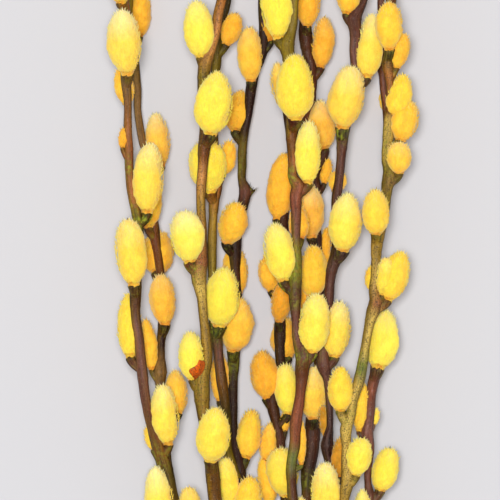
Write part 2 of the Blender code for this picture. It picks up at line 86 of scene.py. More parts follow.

# %% [markdown]
# ## The eleven rods
# Each rod is a short table. Its route gives x, y and thickness from the tip down to the foot, and its
# height gives z at a few y. Each catkin is its foot's x and y, its tip's x and y, its width, the side of
# the rod it sits on, how warm its yellow is, from lemon (0) through amber (1) to mustard (1.4), and how
# pale its tip is. The warmth is partly a catkin's own tone and partly painted shade: catkins at the back
# or in deep shade are given amber, and mustard is painted deep shade. A ninth number, where there is
# one, is the length of a spur that isn't as long as the rest. Two rods that grow into one another share
# a fork.

# %% The rods' tables
LEFT_FRONT = {
    "route": [
        (-66, 290, 3), (-64, 265, 4.5), (-63, 250, 5), (-61, 240, 4), (-61.5, 225, 4), (-62, 211.5, 5),
        (-61, 200, 4), (-61, 187, 4), (-60.5, 176, 4.5), (-60, 161, 4.2), (-59, 152, 4), (-56.5, 143, 5.5),
        (-55.5, 132, 4.5), (-56.5, 120, 4.5), (-57, 106.5, 6), (-57, 92, 4.8), (-55.5, 81, 4.8),
        (-53.6, 62, 5.4), (-51.3, 46, 4.8), (-46, 27, 6.5), (-42.8, 17, 7.3), (-38.8, 2, 6), (-29, -30, 6),
        (-15, -75, 6.2), (-2, -115, 6.4), (4, -131, 6.6), (10, -142, 6.8)],
    "height": [(300, 52), (60, 50), (17, 41), (-75, 24), (-131, 13), (-142, 12)],
    "catkins": [
        (-64, 248, -65.5, 275, 14, FRONT, 0.3, 0), (-61, 212, -64, 244.5, 16.2, FRONT, 0.35, 0.7),
        (-61, 197, -64.5, 216, 9.5, BACK, 0.7, 0), (-63.5, 175.5, -63, 186, 5, SIDE, 0.95, 0),
        (-51.5, 142.5, -49.8, 178, 14.8, FRONT, 0.35, 0.5), (-57.8, 107, -61.2, 140, 15, FRONT, 0.35, 0.3),
        (-59.5, 70.5, -61, 103, 12, BACK, 0.3, 0), (-41, 27.5, -44, 57.5, 13.5, FRONT, 0.25, 0.4),
        (-47.6, 24.5, -51, 37, 7, BACK, 0.5, 0), (-43.5, -14, -47.3, 16.5, 13.5, FRONT, 0.2, 0.6)],
}
LEFT_BACK = {
    "route": [
        (-60, 278, 2.6), (-60.5, 262, 3.5), (-60.5, 245, 3.5), (-58.5, 230, 3.5), (-57.3, 215, 4),
        (-56.6, 205, 4), (-56.4, 196, 3.8), (-54.8, 183, 4), (-50.5, 167, 4), (-49, 150, 4),
        (-48.5, 136, 6), (-47, 127, 4.5), (-45, 114, 4.2), (-44, 100, 4.5), (-43.5, 87, 5.5),
        (-44.5, 79, 4), (-44.5, 71, 3.8), (-45, 64, 7), (-45, 58, 5), (-43.5, 42, 4.5), (-42, 26, 4.5),
        (-41.5, 12, 4.8)],
    "height": [(290, 8), (230, 9.5), (150, 18), (60, 30), (12, 39)],
    "catkins": [
        (-56, 231.5, -55, 257, 10.5, BACK, 0.8, 0), (-44.8, 166.5, -47.6, 193.5, 11.5, SIDE, 0.7, 0.5),
        (-51, 136, -51, 164, 12, FRONT, 0.55, 0), (-46.3, 112.5, -46, 134, 15.5, BACK, 0.75, 0),
        (-42.4, 87, -45, 112.6, 12.5, FRONT, 0.75, 0.2), (-49, 64.3, -52.5, 90, 8, BACK, 0.65, 0),
        (-36, 42.6, -37.6, 64.5, 11, SIDE, 0.65, 0.1, 8)],
}
LEFT_INNER = {
    "route": [
        (-7, 298, 3), (-10, 275, 4), (-12, 262, 4.5), (-14, 250, 5), (-16, 242, 5), (-17, 234, 5),
        (-19, 227, 5), (-22, 220, 7), (-23, 214, 6), (-23.5, 200, 5), (-22, 181, 7), (-23, 175, 6),
        (-23.5, 167, 5), (-24.4, 156, 5), (-24.3, 143, 4.6), (-23.5, 130, 4), (-25, 119, 8.5),
        (-25.5, 111, 7.5), (-24, 101, 5), (-23, 89, 4.5), (-22, 81, 5.5), (-21.5, 71, 5.5),
        (-24, 61.5, 8.5), (-24.1, 55, 8), (-23.4, 46, 6.8), (-21, 30, 6), (-19.2, 18, 7), (-17.4, 0, 6.8),
        (-9, -35, 6), (1, -75, 6), (7, -100, 6.2), (13, -113, 6.4)],
    "height": [(300, 55), (200, 53), (40, 50), (0, 45), (-75, 30), (-113, 18.5)],
    "catkins": [
        (-24, 220.5, -27, 249, 14.8, SIDE, 0.05, 0.3), (-19.8, 182.3, -16, 213.5, 18, FRONT, 0.12, 0.1),
        (-29.8, 118.5, -33, 144.3, 16.4, FRONT, 0, 0.6), (-28.2, 59.6, -30, 84, 12.6, SIDE, 0.05, 0.2),
        (-19.5, 19.5, -17, 46.3, 16.6, FRONT, 0.2, 0.1), (-29, -17.5, -30.8, 6.5, 11.5, SIDE, 0.45, 0.2),
        (-12, -46, -17, -20, 11.5, FRONT, 0.3, 0.2)],
}
MIDDLE_FRONT = {
    "route": [
        (-7, 282, 2.8), (-10, 262, 3.8), (-12, 247, 4), (-15, 237, 4.5), (-16.5, 227, 5), (-17, 219, 5),
        (-17.5, 212, 4.5), (-18, 197, 4.5), (-18, 177, 4.5), (-17, 156, 6), (-18, 150, 5),
        (-18.5, 143, 4.2), (-19, 130, 4.8), (-19, 117, 4.5), (-18.5, 100, 4.5), (-17.5, 86, 6.5),
        (-16, 74, 5), (-14.4, 61, 5.4), (-12.6, 49, 5), (-11, 23, 5), (-7, 10, 5)],
    "height": [(290, 33), (200, 29), (160, 27), (60, 29), (10, 22)],
    "catkins": [
        (-12.3, 227.5, -7, 243.5, 10.5, SIDE, 0.8, 0), (-20, 154, -21.8, 180, 18.4, FRONT, 0.1, 0),
        (-14, 162.5, -10, 179.5, 9, SIDE, 0.7, 0), (-15.3, 86.5, -12.8, 115.8, 17.4, FRONT, 0, 0.1),
        (-15, 48.5, -15.5, 73, 9, BACK, 0.75, 0), (-10, -3, -12.8, 20.8, 10.5, FRONT, 0.15, 0.2)],
}
MIDDLE_BACK = {
    "route": [
        (8, 288, 2.8), (7, 262, 3.8), (6, 250, 4), (6.5, 238, 4), (7, 229.5, 5.5), (5.5, 221, 4),
        (3, 215, 4), (1, 208.5, 5.5), (-1, 192, 4), (-3, 183, 4.5), (-4, 167, 4.5), (-4, 160, 4),
        (-2.5, 155, 6.5), (-3.5, 148, 5.5), (-6, 137, 5), (-7.5, 127, 7), (-7.5, 117, 5), (-6.5, 107, 4),
        (-6, 100, 4), (-7, 85, 4.5), (-8, 74, 6.5), (-8.5, 61, 5), (-8.5, 46, 4.5), (-8, 30, 4.5),
        (-5.5, 18, 6.5), (-5.5, 0, 5.5), (0, -35, 5.5), (6, -70, 5.5), (10, -84, 5.8), (14.5, -93.5, 6)],
    "height": [(290, 16), (120, 14), (60, 15), (10, 20), (-35, 20), (-80, 20), (-94, 22)],
    "catkins": [
        (10, 229.5, 11, 252, 10, SIDE, 0.95, 0), (0.5, 209, -0.5, 236.5, 12, FRONT, 0.6, 0.2),
        (-7.2, 184, -4.7, 205, 12.8, BACK, 0.75, 0), (-11.6, 128, -6.2, 148.6, 13.6, FRONT, 0.65, 0),
        (-6.3, 102, -8.2, 126, 12, BACK, 0.7, 0), (-8.5, 74, -4.7, 100.5, 15.5, FRONT, 0.64, 0.1),
        (-2.5, 19.5, 1, 44.3, 12, SIDE, 0.5, 0), (-1, -16, -0.2, 11.2, 13.5, FRONT, 0.45, 0)],
    "empty_spurs": [(0.6, 155.3)],
}
INNER = {
    "route": [
        (17.6, 197, 3.4), (19.5, 187, 4), (20.5, 175, 4), (19, 160, 4.5), (16.5, 141, 6), (17, 127, 4.5),
        (15.5, 115, 4.5), (14, 105, 6), (15, 97, 4.5), (15, 87, 6), (15, 74, 5), (15, 65, 4),
        (12.4, 57, 4), (11.2, 49, 6), (13.1, 39, 4.7), (15, 30, 5.5), (15.5, 24, 4.5), (16.5, 10, 4.5),
        (17.5, 0, 4.8), (18, -35, 5), (18, -60, 5.2), (18.5, -78, 5.4)],
    "height": [(210, 19), (90, 15), (0, 15), (-35, 17), (-78, 24.5)],
    "catkins": [
        (14, 140, 18, 173.5, 13.5, SIDE, 0.78, 0), (11, 104, 8.5, 122, 11, SIDE, 0.75, 0),
        (14.5, 88.5, 16.5, 108.5, 10, FRONT, 1.1, 0), (18.5, 70, 17, 91, 13, BACK, 0.75, 0),
        (9, 50, 5.5, 74, 14.2, SIDE, 0.88, 0), (19, 42, 17.5, 67.5, 11.5, FRONT, 0.05, 0.2),
        (17.5, 33.5, 17.5, 43.5, 4.8, SIDE, 0.8, 0), (7.7, 18.8, 10.4, 38, 8.4, SIDE, 0.65, 0.1),
        (18.4, 1, 14.5, 25.3, 15.2, FRONT, 0.2, 0.1), (10.5, -3, 6.5, 20.5, 9, BACK, 0.6, 0)],
}
LEADER = {
    "route": [
        (25, 300, 3), (24, 280, 4), (23, 265, 4.2), (22, 250, 4.5), (20.5, 234, 5.2), (18.5, 228, 7.8),
        (19, 222, 6), (20.5, 205, 5), (21, 188.5, 6.5), (21, 176, 5.5), (21.5, 167, 4.8), (21.5, 161, 4.8),
        (24, 157, 7), (23, 152, 6), (23, 143, 5), (23, 130, 4.2), (23.5, 119, 4.5), (22.5, 109, 7),
        (22.5, 101, 6), (23, 89, 4.2), (23.5, 80, 4.5), (26.5, 72.5, 8.5), (26, 65, 6.5), (25, 52, 5),
        (23, 39, 6), (22, 26, 5.5), (20.6, 17, 5), (20.9, 7, 5), (21.4, 0, 5.2), (21.5, -25, 6),
        (20, -50, 7.5), (18.5, -75, 9.5), (17.5, -100, 11), (16, -125, 12.5), (14, -150, 14),
        (11.5, -175, 14.5), (10, -195, 15)],
    "height": [(300, 54), (60, 50), (0, 45), (-75, 28), (-125, 15.5), (-165, 7.6), (-195, 7)],
    "catkins": [
        (27, 268, 30, 293, 12, SIDE, 0.3, 0.2), (14.5, 229.8, 11.5, 262, 15, FRONT, 0.05, 0),
        (22.7, 190, 22.2, 222, 18.5, FRONT, 0.2, 0), (28.8, 157.5, 29, 189, 12.5, SIDE, 0.1, 0.4),
        (17, 108.8, 12.2, 138, 15, FRONT, 0.12, 0.3), (25, 130, 24, 147, 10, BACK, 0.8, 0),
        (30.5, 73, 33.5, 103, 15.5, FRONT, 0.15, 0.3), (25.6, 17, 25.1, 40.5, 5, BACK, 0.7, 0, 4)],
}
RIGHT_INNER = {
    "route": [
        (27, 288, 2.8), (28, 262, 4.2), (28, 245, 5), (27.8, 234, 7), (28.7, 225, 6), (30.8, 215.5, 6),
        (31.5, 205, 3.5), (30.5, 197, 4), (28, 191, 4.5), (28.5, 180, 4), (31, 167, 4.2), (33, 156, 5.5),
        (33, 144, 4.5), (33, 131, 6.5), (34, 124, 4.5), (35, 105, 4.5), (35, 85, 4.5), (34, 65, 4.5),
        (32.5, 50, 5), (31.5, 39.5, 7.5), (31.2, 33, 7.8), (30.6, 23, 7.6), (29, 14, 6.8), (28.5, 4, 5.2),
        (28, -20, 5.2), (26, -40, 5.4), (20.5, -57, 5.6)],
    "height": [(290, 20), (120, 20), (40, 22), (0, 24), (-57, 32)],
    "catkins": [
        (28.7, 237, 30, 260, 11.5, FRONT, 0.8, 0), (35.2, 216, 37.3, 241.7, 11, SIDE, 0.85, 0.1),
        (37, 175, 34.7, 200, 13.5, SIDE, 0.75, 0.4, 18), (37.2, 158, 39, 171, 6, BACK, 0.8, 0),
        (31, 131, 28.6, 158.5, 13.8, FRONT, 0.85, 0.5), (37, 105, 38.5, 136, 7, BACK, 0.85, 0),
        (31, 100.5, 32.2, 127, 13.8, FRONT, 0.55, 0), (27, 94, 28.5, 112, 5.5, SIDE, 0.8, 0),
        (31.5, 40, 32, 66.5, 13, FRONT, 0.5, 0.4), (25.5, -24, 25.5, 1, 11, FRONT, 0.2, 0.3)],
}
RIGHT_MIDDLE = {
    "route": [
        (61, 285, 2.6), (58.5, 262, 3.5), (57, 250, 3.5), (52, 241, 8), (52.5, 235, 6), (52.5, 231, 5.2),
        (52, 224, 4.5), (52.5, 218, 4.5), (53, 212, 5), (50, 200, 4.5), (46.5, 185.5, 7.4), (46, 178, 5.4),
        (45.5, 170, 4.6), (44.5, 160, 4.5), (43.5, 152, 5), (43.5, 137, 5), (44, 124, 7.5),
        (41.5, 117, 5.8), (40, 109, 5), (39.5, 102, 5), (38.5, 87, 5), (36.5, 75, 5.8), (37, 67, 7),
        (38.5, 61, 4), (39, 55, 3.5), (39.8, 46, 3.4), (40, 37, 3.4), (38.5, 27, 6.5), (39.5, 19, 4),
        (40, 7, 4.2), (40.5, 0, 4.5), (36.5, -30, 5), (29, -56, 5.4), (21, -70, 5.6)],
    "height": [(290, 40), (60, 37), (0, 36), (-56, 31), (-70, 29)],
    "catkins": [
        (48.7, 242.3, 50.5, 268, 13, FRONT, 0.6, 0), (58.2, 210.5, 61, 243, 12.5, SIDE, 0.25, 0.5),
        (46, 185.5, 50.8, 216.5, 16.8, FRONT, 0.42, 0.4), (43, 154, 44, 164.5, 8.8, BACK, 0.6, 0),
        (46.3, 124.2, 49, 153, 16, FRONT, 0.2, 0.4), (42, 70.6, 44.6, 99, 13.6, SIDE, 0.3, 0.5),
        # Warmth 1.4 and 1.35 paint the deep shade that these two catkins lie in.
        (38.5, 30, 36.5, 47, 6, BACK, 1.4, 0), (45, 11, 45.5, 31, 9, SIDE, 1.35, 0),
        (38, -9, 37.5, 18.5, 14.5, FRONT, 0.3, 0.5), (40, -24, 39.5, 2, 10.5, FRONT, 0.15, 0.8)],
}
RIGHT_FRONT = {
    "route": [
        (75, 296, 3), (73, 275, 4), (71.5, 262, 4.5), (70.5, 250, 5.5), (70, 235, 4.5), (70, 224, 5),
        (69, 219, 6), (70, 207, 4), (70, 200, 4), (69.5, 190, 5.5), (69, 181, 5.5), (68, 172, 4.5),
        (69.8, 162, 7.6), (68.6, 157, 6), (68.2, 151, 4.5), (67, 142, 4.5), (64, 132, 7), (63, 124, 5.2),
        (63, 117, 5), (62.5, 111, 4.8), (62, 105, 5.5), (63, 99, 7.5), (60.5, 92, 5.2), (59, 85, 4.8),
        (57.6, 77, 4.6), (56.6, 71, 5), (54.8, 61, 6), (51.5, 50, 4.5), (50, 42, 5), (48, 36, 6),
        (48, 27, 4.5), (47.5, 21, 4), (49, 12, 7), (47, 0, 4.8), (48.5, -14, 5), (45.5, -38, 5.4),
        (38, -62, 5.8), (29, -83, 6), (21.5, -95.5, 6.2)],
    "height": [(300, 50), (60, 47), (0, 45), (-62, 33), (-95, 23)],
    "catkins": [
        (75, 262, 80, 286, 11, SIDE, 0.5, 0.2), (69.5, 224.5, 69.2, 248.5, 13, FRONT, 0.5, 0),
        (72.8, 215.5, 76.8, 233, 9, SIDE, 0.7, 0), (72, 191, 76.7, 212.5, 12.3, SIDE, 0.4, 0),
        (74.5, 179, 80.3, 199, 13, SIDE, 0.6, 0), (74.2, 163, 74.3, 178.7, 12, FRONT, 0.58, 0.2),
        (63, 132.5, 62.4, 155, 13.4, FRONT, 0.42, 0.1), (68.2, 99.6, 76, 124, 14, SIDE, 0.35, 0),
        (66, 102, 68, 121, 8, FRONT, 0.3, 0.2), (61.5, 104, 60.8, 117, 7, BACK, 0.5, 0),
        (45.3, 44, 45, 66.5, 12.5, SIDE, 0.35, 0), (52.5, 12, 56, 31, 12.5, FRONT, 0.1, 0.1),
        (48, -34, 50, -9, 11, FRONT, 0.3, 0.2)],
}
RIGHT_BACK = {
    "route": [
        (65.5, 276, 2.6), (66.5, 262, 3.5), (65.8, 250, 3.5), (66, 240, 3.5), (66.5, 222, 4), (67, 210, 4),
        (68.8, 192, 4), (69.3, 175, 4), (68.5, 157, 4), (66, 137, 4), (63, 121, 4), (62, 100, 4),
        (62.5, 80, 4.2), (63, 65, 6), (61, 55, 5), (60, 42, 4.5), (58.5, 33, 6.5), (60, 27, 4),
        (59, 15, 3.8), (59, 8, 3.5), (60, 2, 5.5), (59, -20, 5.5), (52, -60, 5.8), (39, -100, 6.2),
        (27, -126, 6.5), (19, -137.5, 6.8)],
    "height": [
        (280, 9), (190, 9.5), (120, 16), (65, 34), (40, 37), (0, 34), (-60, 25), (-126, 13), (-138, 12)],
    "catkins": [
        (66, 216, 64.5, 236, 9, BACK, 0.9, 0), (70, 193, 70, 207, 9.5, BACK, 0.5, 0),
        (64, 65, 67.8, 94.5, 15.8, FRONT, 0, 0.3), (54.8, 33.5, 57, 58, 8, SIDE, 0.5, 0),
        (61.5, 37, 63, 46, 5, BACK, 0.3, 0.3), (65, 4, 70.3, 25.7, 13, SIDE, 0.12, 0.1),
        (57, -22, 56, 5, 10, FRONT, 0.1, 0.3), (58, -50, 63, -25, 11, SIDE, 0.4, 0.2)],
}
SHOOTS = {
    "main_stem": [LEADER],
    "left_fork": [LEFT_FRONT, LEFT_BACK],
    "left_rod": [LEFT_INNER],
    "middle_fork": [MIDDLE_FRONT, MIDDLE_BACK],
    "inner_rod": [INNER],
    "right_inner_rod": [RIGHT_INNER],
    "right_middle_rod": [RIGHT_MIDDLE],
    "right_front_rod": [RIGHT_FRONT],
    "right_back_rod": [RIGHT_BACK],
}
print("catkins in the tables:", sum(len(rod["catkins"]) for rods in SHOOTS.values() for rod in rods))

# %% [markdown]
# ## Bark colours
# Young willow bark runs from copper and red-brown through olive to a purple that is nearly black, often
# on one rod. A few named colours, each with the y where the rod reaches it, are enough, because the
# bark between them is a mix of the two. Algae gathers in the damp angle under a cup, so it gets its own
# short list, with each patch's middle, half its length and its strength. The olive edge is how much
# green the left side of a rod has.

# %% Bark colours along each rod


def paint(red, green, blue):
    """A screen colour from 0 to 255, taken to linear light by the screen's own curve."""
    screen = np.array([red, green, blue]) / 255.0
    return np.where(screen <= 0.04045, screen / 12.92, ((screen + 0.055) / 1.055) ** 2.4)


COPPER = paint(152, 96, 56)
TAWNY = paint(198, 138, 78)
HONEY_BROWN = paint(102, 68, 28)
BRONZE = paint(98, 80, 38)
RED_BROWN = paint(104, 58, 38)
CHESTNUT = paint(132, 76, 58)
PURPLE = paint(104, 68, 62)
DARK_PURPLE = paint(74, 46, 42)
NEAR_BLACK = paint(44, 32, 24)
OLIVE = paint(126, 110, 44)
DARK_OLIVE = paint(66, 58, 28)
OLIVE_GOLD = paint(152, 122, 54)
TAN = paint(190, 162, 84)
GREY_GREEN = paint(108, 116, 74)
GREY_BROWN = paint(116, 88, 60)

LEFT_FRONT["bark"] = [
    (250, COPPER), (205, GREY_BROWN), (186, COPPER), (170, CHESTNUT), (152, COPPER), (140, DARK_OLIVE),
    (110, NEAR_BLACK), (98, DARK_PURPLE), (86, PURPLE), (50, PURPLE), (24, RED_BROWN), (14, DARK_OLIVE),
    (0, DARK_OLIVE), (-60, GREY_BROWN)]
LEFT_BACK["bark"] = [
    (230, OLIVE), (205, GREY_BROWN), (180, GREY_BROWN), (150, COPPER), (135, RED_BROWN), (115, RED_BROWN),
    (86, NEAR_BLACK), (76, NEAR_BLACK), (68, GREY_BROWN), (40, DARK_OLIVE)]
LEFT_INNER["bark"] = [
    (250, COPPER), (226, TAWNY), (212, OLIVE), (184, DARK_PURPLE), (172, RED_BROWN), (162, TAWNY),
    (148, OLIVE_GOLD), (118, CHESTNUT), (106, TAN), (86, OLIVE_GOLD), (60, OLIVE_GOLD), (20, HONEY_BROWN),
    (-5, HONEY_BROWN), (-40, GREY_BROWN)]
MIDDLE_FRONT["bark"] = [
    (240, DARK_OLIVE), (200, OLIVE), (155, COPPER), (140, OLIVE_GOLD), (112, OLIVE), (84, DARK_OLIVE),
    (74, PURPLE), (58, HONEY_BROWN), (44, DARK_OLIVE), (20, OLIVE)]
MIDDLE_BACK["bark"] = [
    (240, NEAR_BLACK), (185, NEAR_BLACK), (178, BRONZE), (163, BRONZE), (155, PURPLE), (146, NEAR_BLACK),
    (125, NEAR_BLACK), (112, DARK_PURPLE), (90, NEAR_BLACK), (72, DARK_OLIVE), (60, NEAR_BLACK),
    (0, NEAR_BLACK), (-60, GREY_BROWN)]
INNER["bark"] = [
    (180, NEAR_BLACK), (120, DARK_PURPLE), (80, NEAR_BLACK), (30, DARK_PURPLE), (-60, GREY_BROWN)]
LEADER["bark"] = [
    (250, OLIVE), (222, OLIVE), (190, RED_BROWN), (176, HONEY_BROWN), (168, COPPER), (155, CHESTNUT),
    (132, PURPLE), (126, OLIVE), (112, OLIVE), (106, DARK_PURPLE), (86, PURPLE), (74, PURPLE),
    (66, RED_BROWN), (48, CHESTNUT), (30, CHESTNUT), (22, GREY_GREEN), (10, DARK_PURPLE),
    (-60, GREY_BROWN), (-195, GREY_BROWN)]
RIGHT_INNER["bark"] = [
    (240, NEAR_BLACK), (190, RED_BROWN), (165, DARK_PURPLE), (120, NEAR_BLACK), (60, DARK_PURPLE),
    (40, NEAR_BLACK), (30, DARK_PURPLE), (16, NEAR_BLACK), (6, DARK_OLIVE), (-4, RED_BROWN)]
RIGHT_MIDDLE["bark"] = [
    (245, DARK_PURPLE), (222, PURPLE), (190, NEAR_BLACK), (178, DARK_PURPLE), (150, DARK_PURPLE),
    (125, NEAR_BLACK), (112, DARK_PURPLE), (78, PURPLE), (60, DARK_PURPLE), (40, NEAR_BLACK),
    (18, NEAR_BLACK), (-50, GREY_BROWN)]
RIGHT_FRONT["bark"] = [
    (250, RED_BROWN), (222, DARK_OLIVE), (212, COPPER), (194, RED_BROWN), (190, TAN), (174, TAN),
    (166, OLIVE), (160, GREY_BROWN), (150, OLIVE), (130, OLIVE_GOLD), (110, TAN), (98, CHESTNUT),
    (92, TAN), (76, TAN), (66, GREY_GREEN), (58, TAN), (20, TAN), (0, OLIVE_GOLD), (-60, GREY_BROWN)]
RIGHT_BACK["bark"] = [
    (240, DARK_PURPLE), (180, RED_BROWN), (120, DARK_PURPLE), (64, DARK_PURPLE), (54, CHESTNUT),
    (44, PURPLE), (34, PURPLE), (26, PURPLE), (10, DARK_PURPLE), (-60, GREY_BROWN)]

LEFT_FRONT["algae"] = [(167, 5, 0.5), (139, 9, 0.8), (22, 10, 0.3)]
LEFT_INNER["algae"] = [(113, 6, 0.35), (55, 14, 0.2)]
MIDDLE_FRONT["algae"] = [(84, 5, 0.6)]
MIDDLE_BACK["algae"] = [(68, 8, 0.4), (170, 10, 0.2)]
LEADER["algae"] = [(163, 4, 0.6), (117, 10, 0.8), (98, 3, 0.3), (72, 4, 0.5), (21, 6, 0.5)]
RIGHT_INNER["algae"] = [(9, 5, 0.3)]
RIGHT_MIDDLE["algae"] = [(184, 5, 0.8), (76, 5, 0.4)]
RIGHT_FRONT["algae"] = [(67, 7, 0.7), (175, 16, 0.3), (44, 8, 0.3)]
for rod, share in ((LEADER, 0.7), (MIDDLE_BACK, 0.6), (MIDDLE_FRONT, 0.5), (RIGHT_FRONT, 0.6),
                   (LEFT_INNER, 0.4), (LEFT_FRONT, 0.25)):
    rod["olive_edge"] = share
print("colours along the leading rod:", len(LEADER["bark"]))

# %% [markdown]
# ## Smooth lines through a few points
# A table point every centimetre or two is easy to check by eye, but a willow rod bends smoothly. A cubic
# between neighbours, whose slope at each point is the slope from the point before to the point after,
# passes through all of them without a corner. Heights use an S-shaped blend, level at each point.

# %% Smooth lines


def smooth_through(knots, values, at):
    """A cubic between neighbouring knots: value times one weight, plus slope times another, at both ends.

    The slope at a knot is the change of value from the knot before to the one after, over their distance."""
    knots, values = np.asarray(knots, dtype=float), np.asarray(values, dtype=float)
    slope = np.gradient(values, knots, axis=0)
    at = np.clip(at, knots[0], knots[-1])
    left = np.clip(np.searchsorted(knots, at, side="right") - 1, 0, len(knots) - 2)
    gap = knots[left + 1] - knots[left]
    t = (at - knots[left]) / gap
    return ((2 * t ** 3 - 3 * t ** 2 + 1) * values[left] + (t ** 3 - 2 * t ** 2 + t) * gap * slope[left]
            + (3 * t ** 2 - 2 * t ** 3) * values[left + 1] + (t ** 3 - t ** 2) * gap * slope[left + 1])


def ease(t):
    """Three t squared less two t cubed, from 0 to 1, level at both ends."""
    t = np.clip(t, 0.0, 1.0)
    return t * t * (3.0 - 2.0 * t)


def bell(x, middle_x, half_width):
    """One in the middle, and e to the power of less the squared distance in half widths beside it."""
    return np.exp(-(((x - middle_x) / half_width) ** 2))


def height_at(profile, y):
    """The rod's height: between two points of its profile it follows the S-shaped blend."""
    points = np.array(sorted(profile), dtype=float)
    at = np.clip(y, points[0, 0], points[-1, 0])
    left = np.clip(np.searchsorted(points[:, 0], at, side="right") - 1, 0, len(points) - 2)
    share = ease((at - points[left, 0]) / (points[left + 1, 0] - points[left, 0]))
    return points[left, 1] + share * (points[left + 1, 1] - points[left, 1])


def rod_at(rod, y):
    """Centres and radii of a rod at each y: x by the cubic, z by the S-shaped blend, girth straight."""
    y = np.atleast_1d(np.asarray(y, dtype=float))
    route = np.array(rod["route"], dtype=float)[::-1]
    across = smooth_through(route[:, 1], route[:, 0], y)
    thickness = np.interp(y, route[:, 1], route[:, 2])
    return np.column_stack([across, y, height_at(rod["height"], y)]), thickness / 2.0


def colour_at(rod, y):
    """The bark's colour at each y, mixed evenly between the two nearest entries of its list."""
    stops = sorted(rod["bark"], key=lambda stop: stop[0])
    places = [stop[0] for stop in stops]
    return np.column_stack([np.interp(y, places, [stop[1][i] for stop in stops]) for i in range(3)])


def algae_at(rod, y):
    """Algae at each y: for each patch its strength times a bell as wide as its half length, summed."""
    return sum((strength * bell(y, middle_y, half_length)
                for middle_y, half_length, strength in rod.get("algae", [])), np.zeros_like(y))


print("left inner rod at y 100:", np.round(rod_at(LEFT_INNER, 100)[0], 1))

# %% [markdown]
# ## A repeatable roughness
# Nothing grown is quite round. A sum of sine waves in fixed directions gives a soft, uneven field that
# comes out the same on every run, because its random generator starts from a written number.

# %% Soft noise
WAVES = 8
WAVE_GAIN = 1.8


def ripple(points, size, seed):
    """The mean of eight sine waves in seeded directions, about `size` millimetres from crest to crest."""
    chance = np.random.default_rng(seed)
    directions = chance.normal(size=(WAVES, 3))
    directions *= (2 * np.pi / size) / np.linalg.norm(directions, axis=1, keepdims=True)
    return np.sin(points @ directions.T + chance.uniform(0, 2 * np.pi, WAVES)).mean(axis=-1) * WAVE_GAIN


print("noise at the origin:", np.round(ripple(np.zeros((1, 3)), 5.0, 1), 3))

# %% [markdown]
# ## Circles round a line
# Most forms here are circles carried along a line. The line's direction crossed with the upright is the
# direction across it, level with the table, and a second cross product points up from it. A cosine and
# a sine lead from the one to the other and on, once round the line. So an angle counts from the right
# side of a rod, over its top, to its left side.

# %% Directions and circles


def unit(vectors):
    """Each vector divided by its own length."""
    return vectors / np.maximum(np.linalg.norm(vectors, axis=-1, keepdims=True), 1e-9)


def across_and_upward(way):
    """The way crossed with the upright, made one long, and that crossed with the way."""
    across = unit(np.cross(way, UP))
    return across, np.cross(across, way)


def full_turn(sides):
    """Equal angles, once round."""
    return np.linspace(0, 2 * np.pi, sides, endpoint=False)


def around(turn, across, upward):
    """The cosine of the turn times the one direction, plus its sine times the other."""
    return np.cos(turn)[..., None] * across + np.sin(turn)[..., None] * upward


def carried_circle(centre, angle):
    """The line's direction at each centre, and the points of the circle that stands square to it."""
    along = unit(np.gradient(centre, axis=0))
    across, upward = across_and_upward(along)
    return along, around(angle, across[:, None], upward[:, None])


def straightened(girth, along, angle, shift):
    """Places as on a straight tube: girth times cosine, length along, girth times sine, then shifted."""
    return np.stack([np.outer(girth, np.cos(angle)), np.repeat(along[:, None], len(angle), 1),
                     np.outer(girth, np.sin(angle))], axis=-1) + [shift, 0, 0]


print("across and up from the y axis:", *across_and_upward(np.array([0.0, 1.0, 0.0])))

# %% [markdown]
# ## From a grid of points to a skin
# Most forms here are stacks of rings. Neighbouring rings are joined by four-sided faces, and a fan to
# one middle point closes each end, so no form is left open. Each vertex also keeps some values of its
# own, such as its bark colour, which the materials read later. The signed volume tells whether the
# faces point outwards; where it is negative they are turned round.

# %% Rings to skins, skins to one piece


def with_ends(value):
    """The value at each point of the grid, then its mean over the first ring and over the last."""
    flat = value.reshape((-1,) + value.shape[2:])
    return np.concatenate([flat, value[0].mean(0)[None], value[-1].mean(0)[None]])


def skin(rings, values):
    """Rings joined side by side and closed by a fan at each end, as points, fours, threes, values.

    A last item is left empty, for skins that bring normals of their own."""
    rows, columns = rings.shape[:2]
    grid = np.arange(rows * columns).reshape(rows, columns)
    beside = np.roll(grid, -1, axis=1)
    fours = np.stack([grid[:-1], beside[:-1], beside[1:], grid[1:]], axis=-1).reshape(-1, 4)
    first, last = rows * columns, rows * columns + 1
    threes = np.concatenate([
        np.column_stack([np.full(columns, first), beside[0], grid[0]]),
        np.column_stack([np.full(columns, last), grid[-1], beside[-1]])])
    points = with_ends(rings)
    corners = np.concatenate([fours[:, [0, 1, 2]], fours[:, [0, 2, 3]], threes])
    a, b, c = (points[corners[:, i]] for i in range(3))
    if np.einsum("ij,ij->i", a, np.cross(b, c)).sum() < 0:
        fours, threes = fours[:, ::-1], threes[:, ::-1]
    return points, fours, threes, {name: with_ends(value) for name, value in values.items()}, None


LAYER_TYPES = {1: ("FLOAT", "value"), 2: ("FLOAT_VECTOR", "vector")}


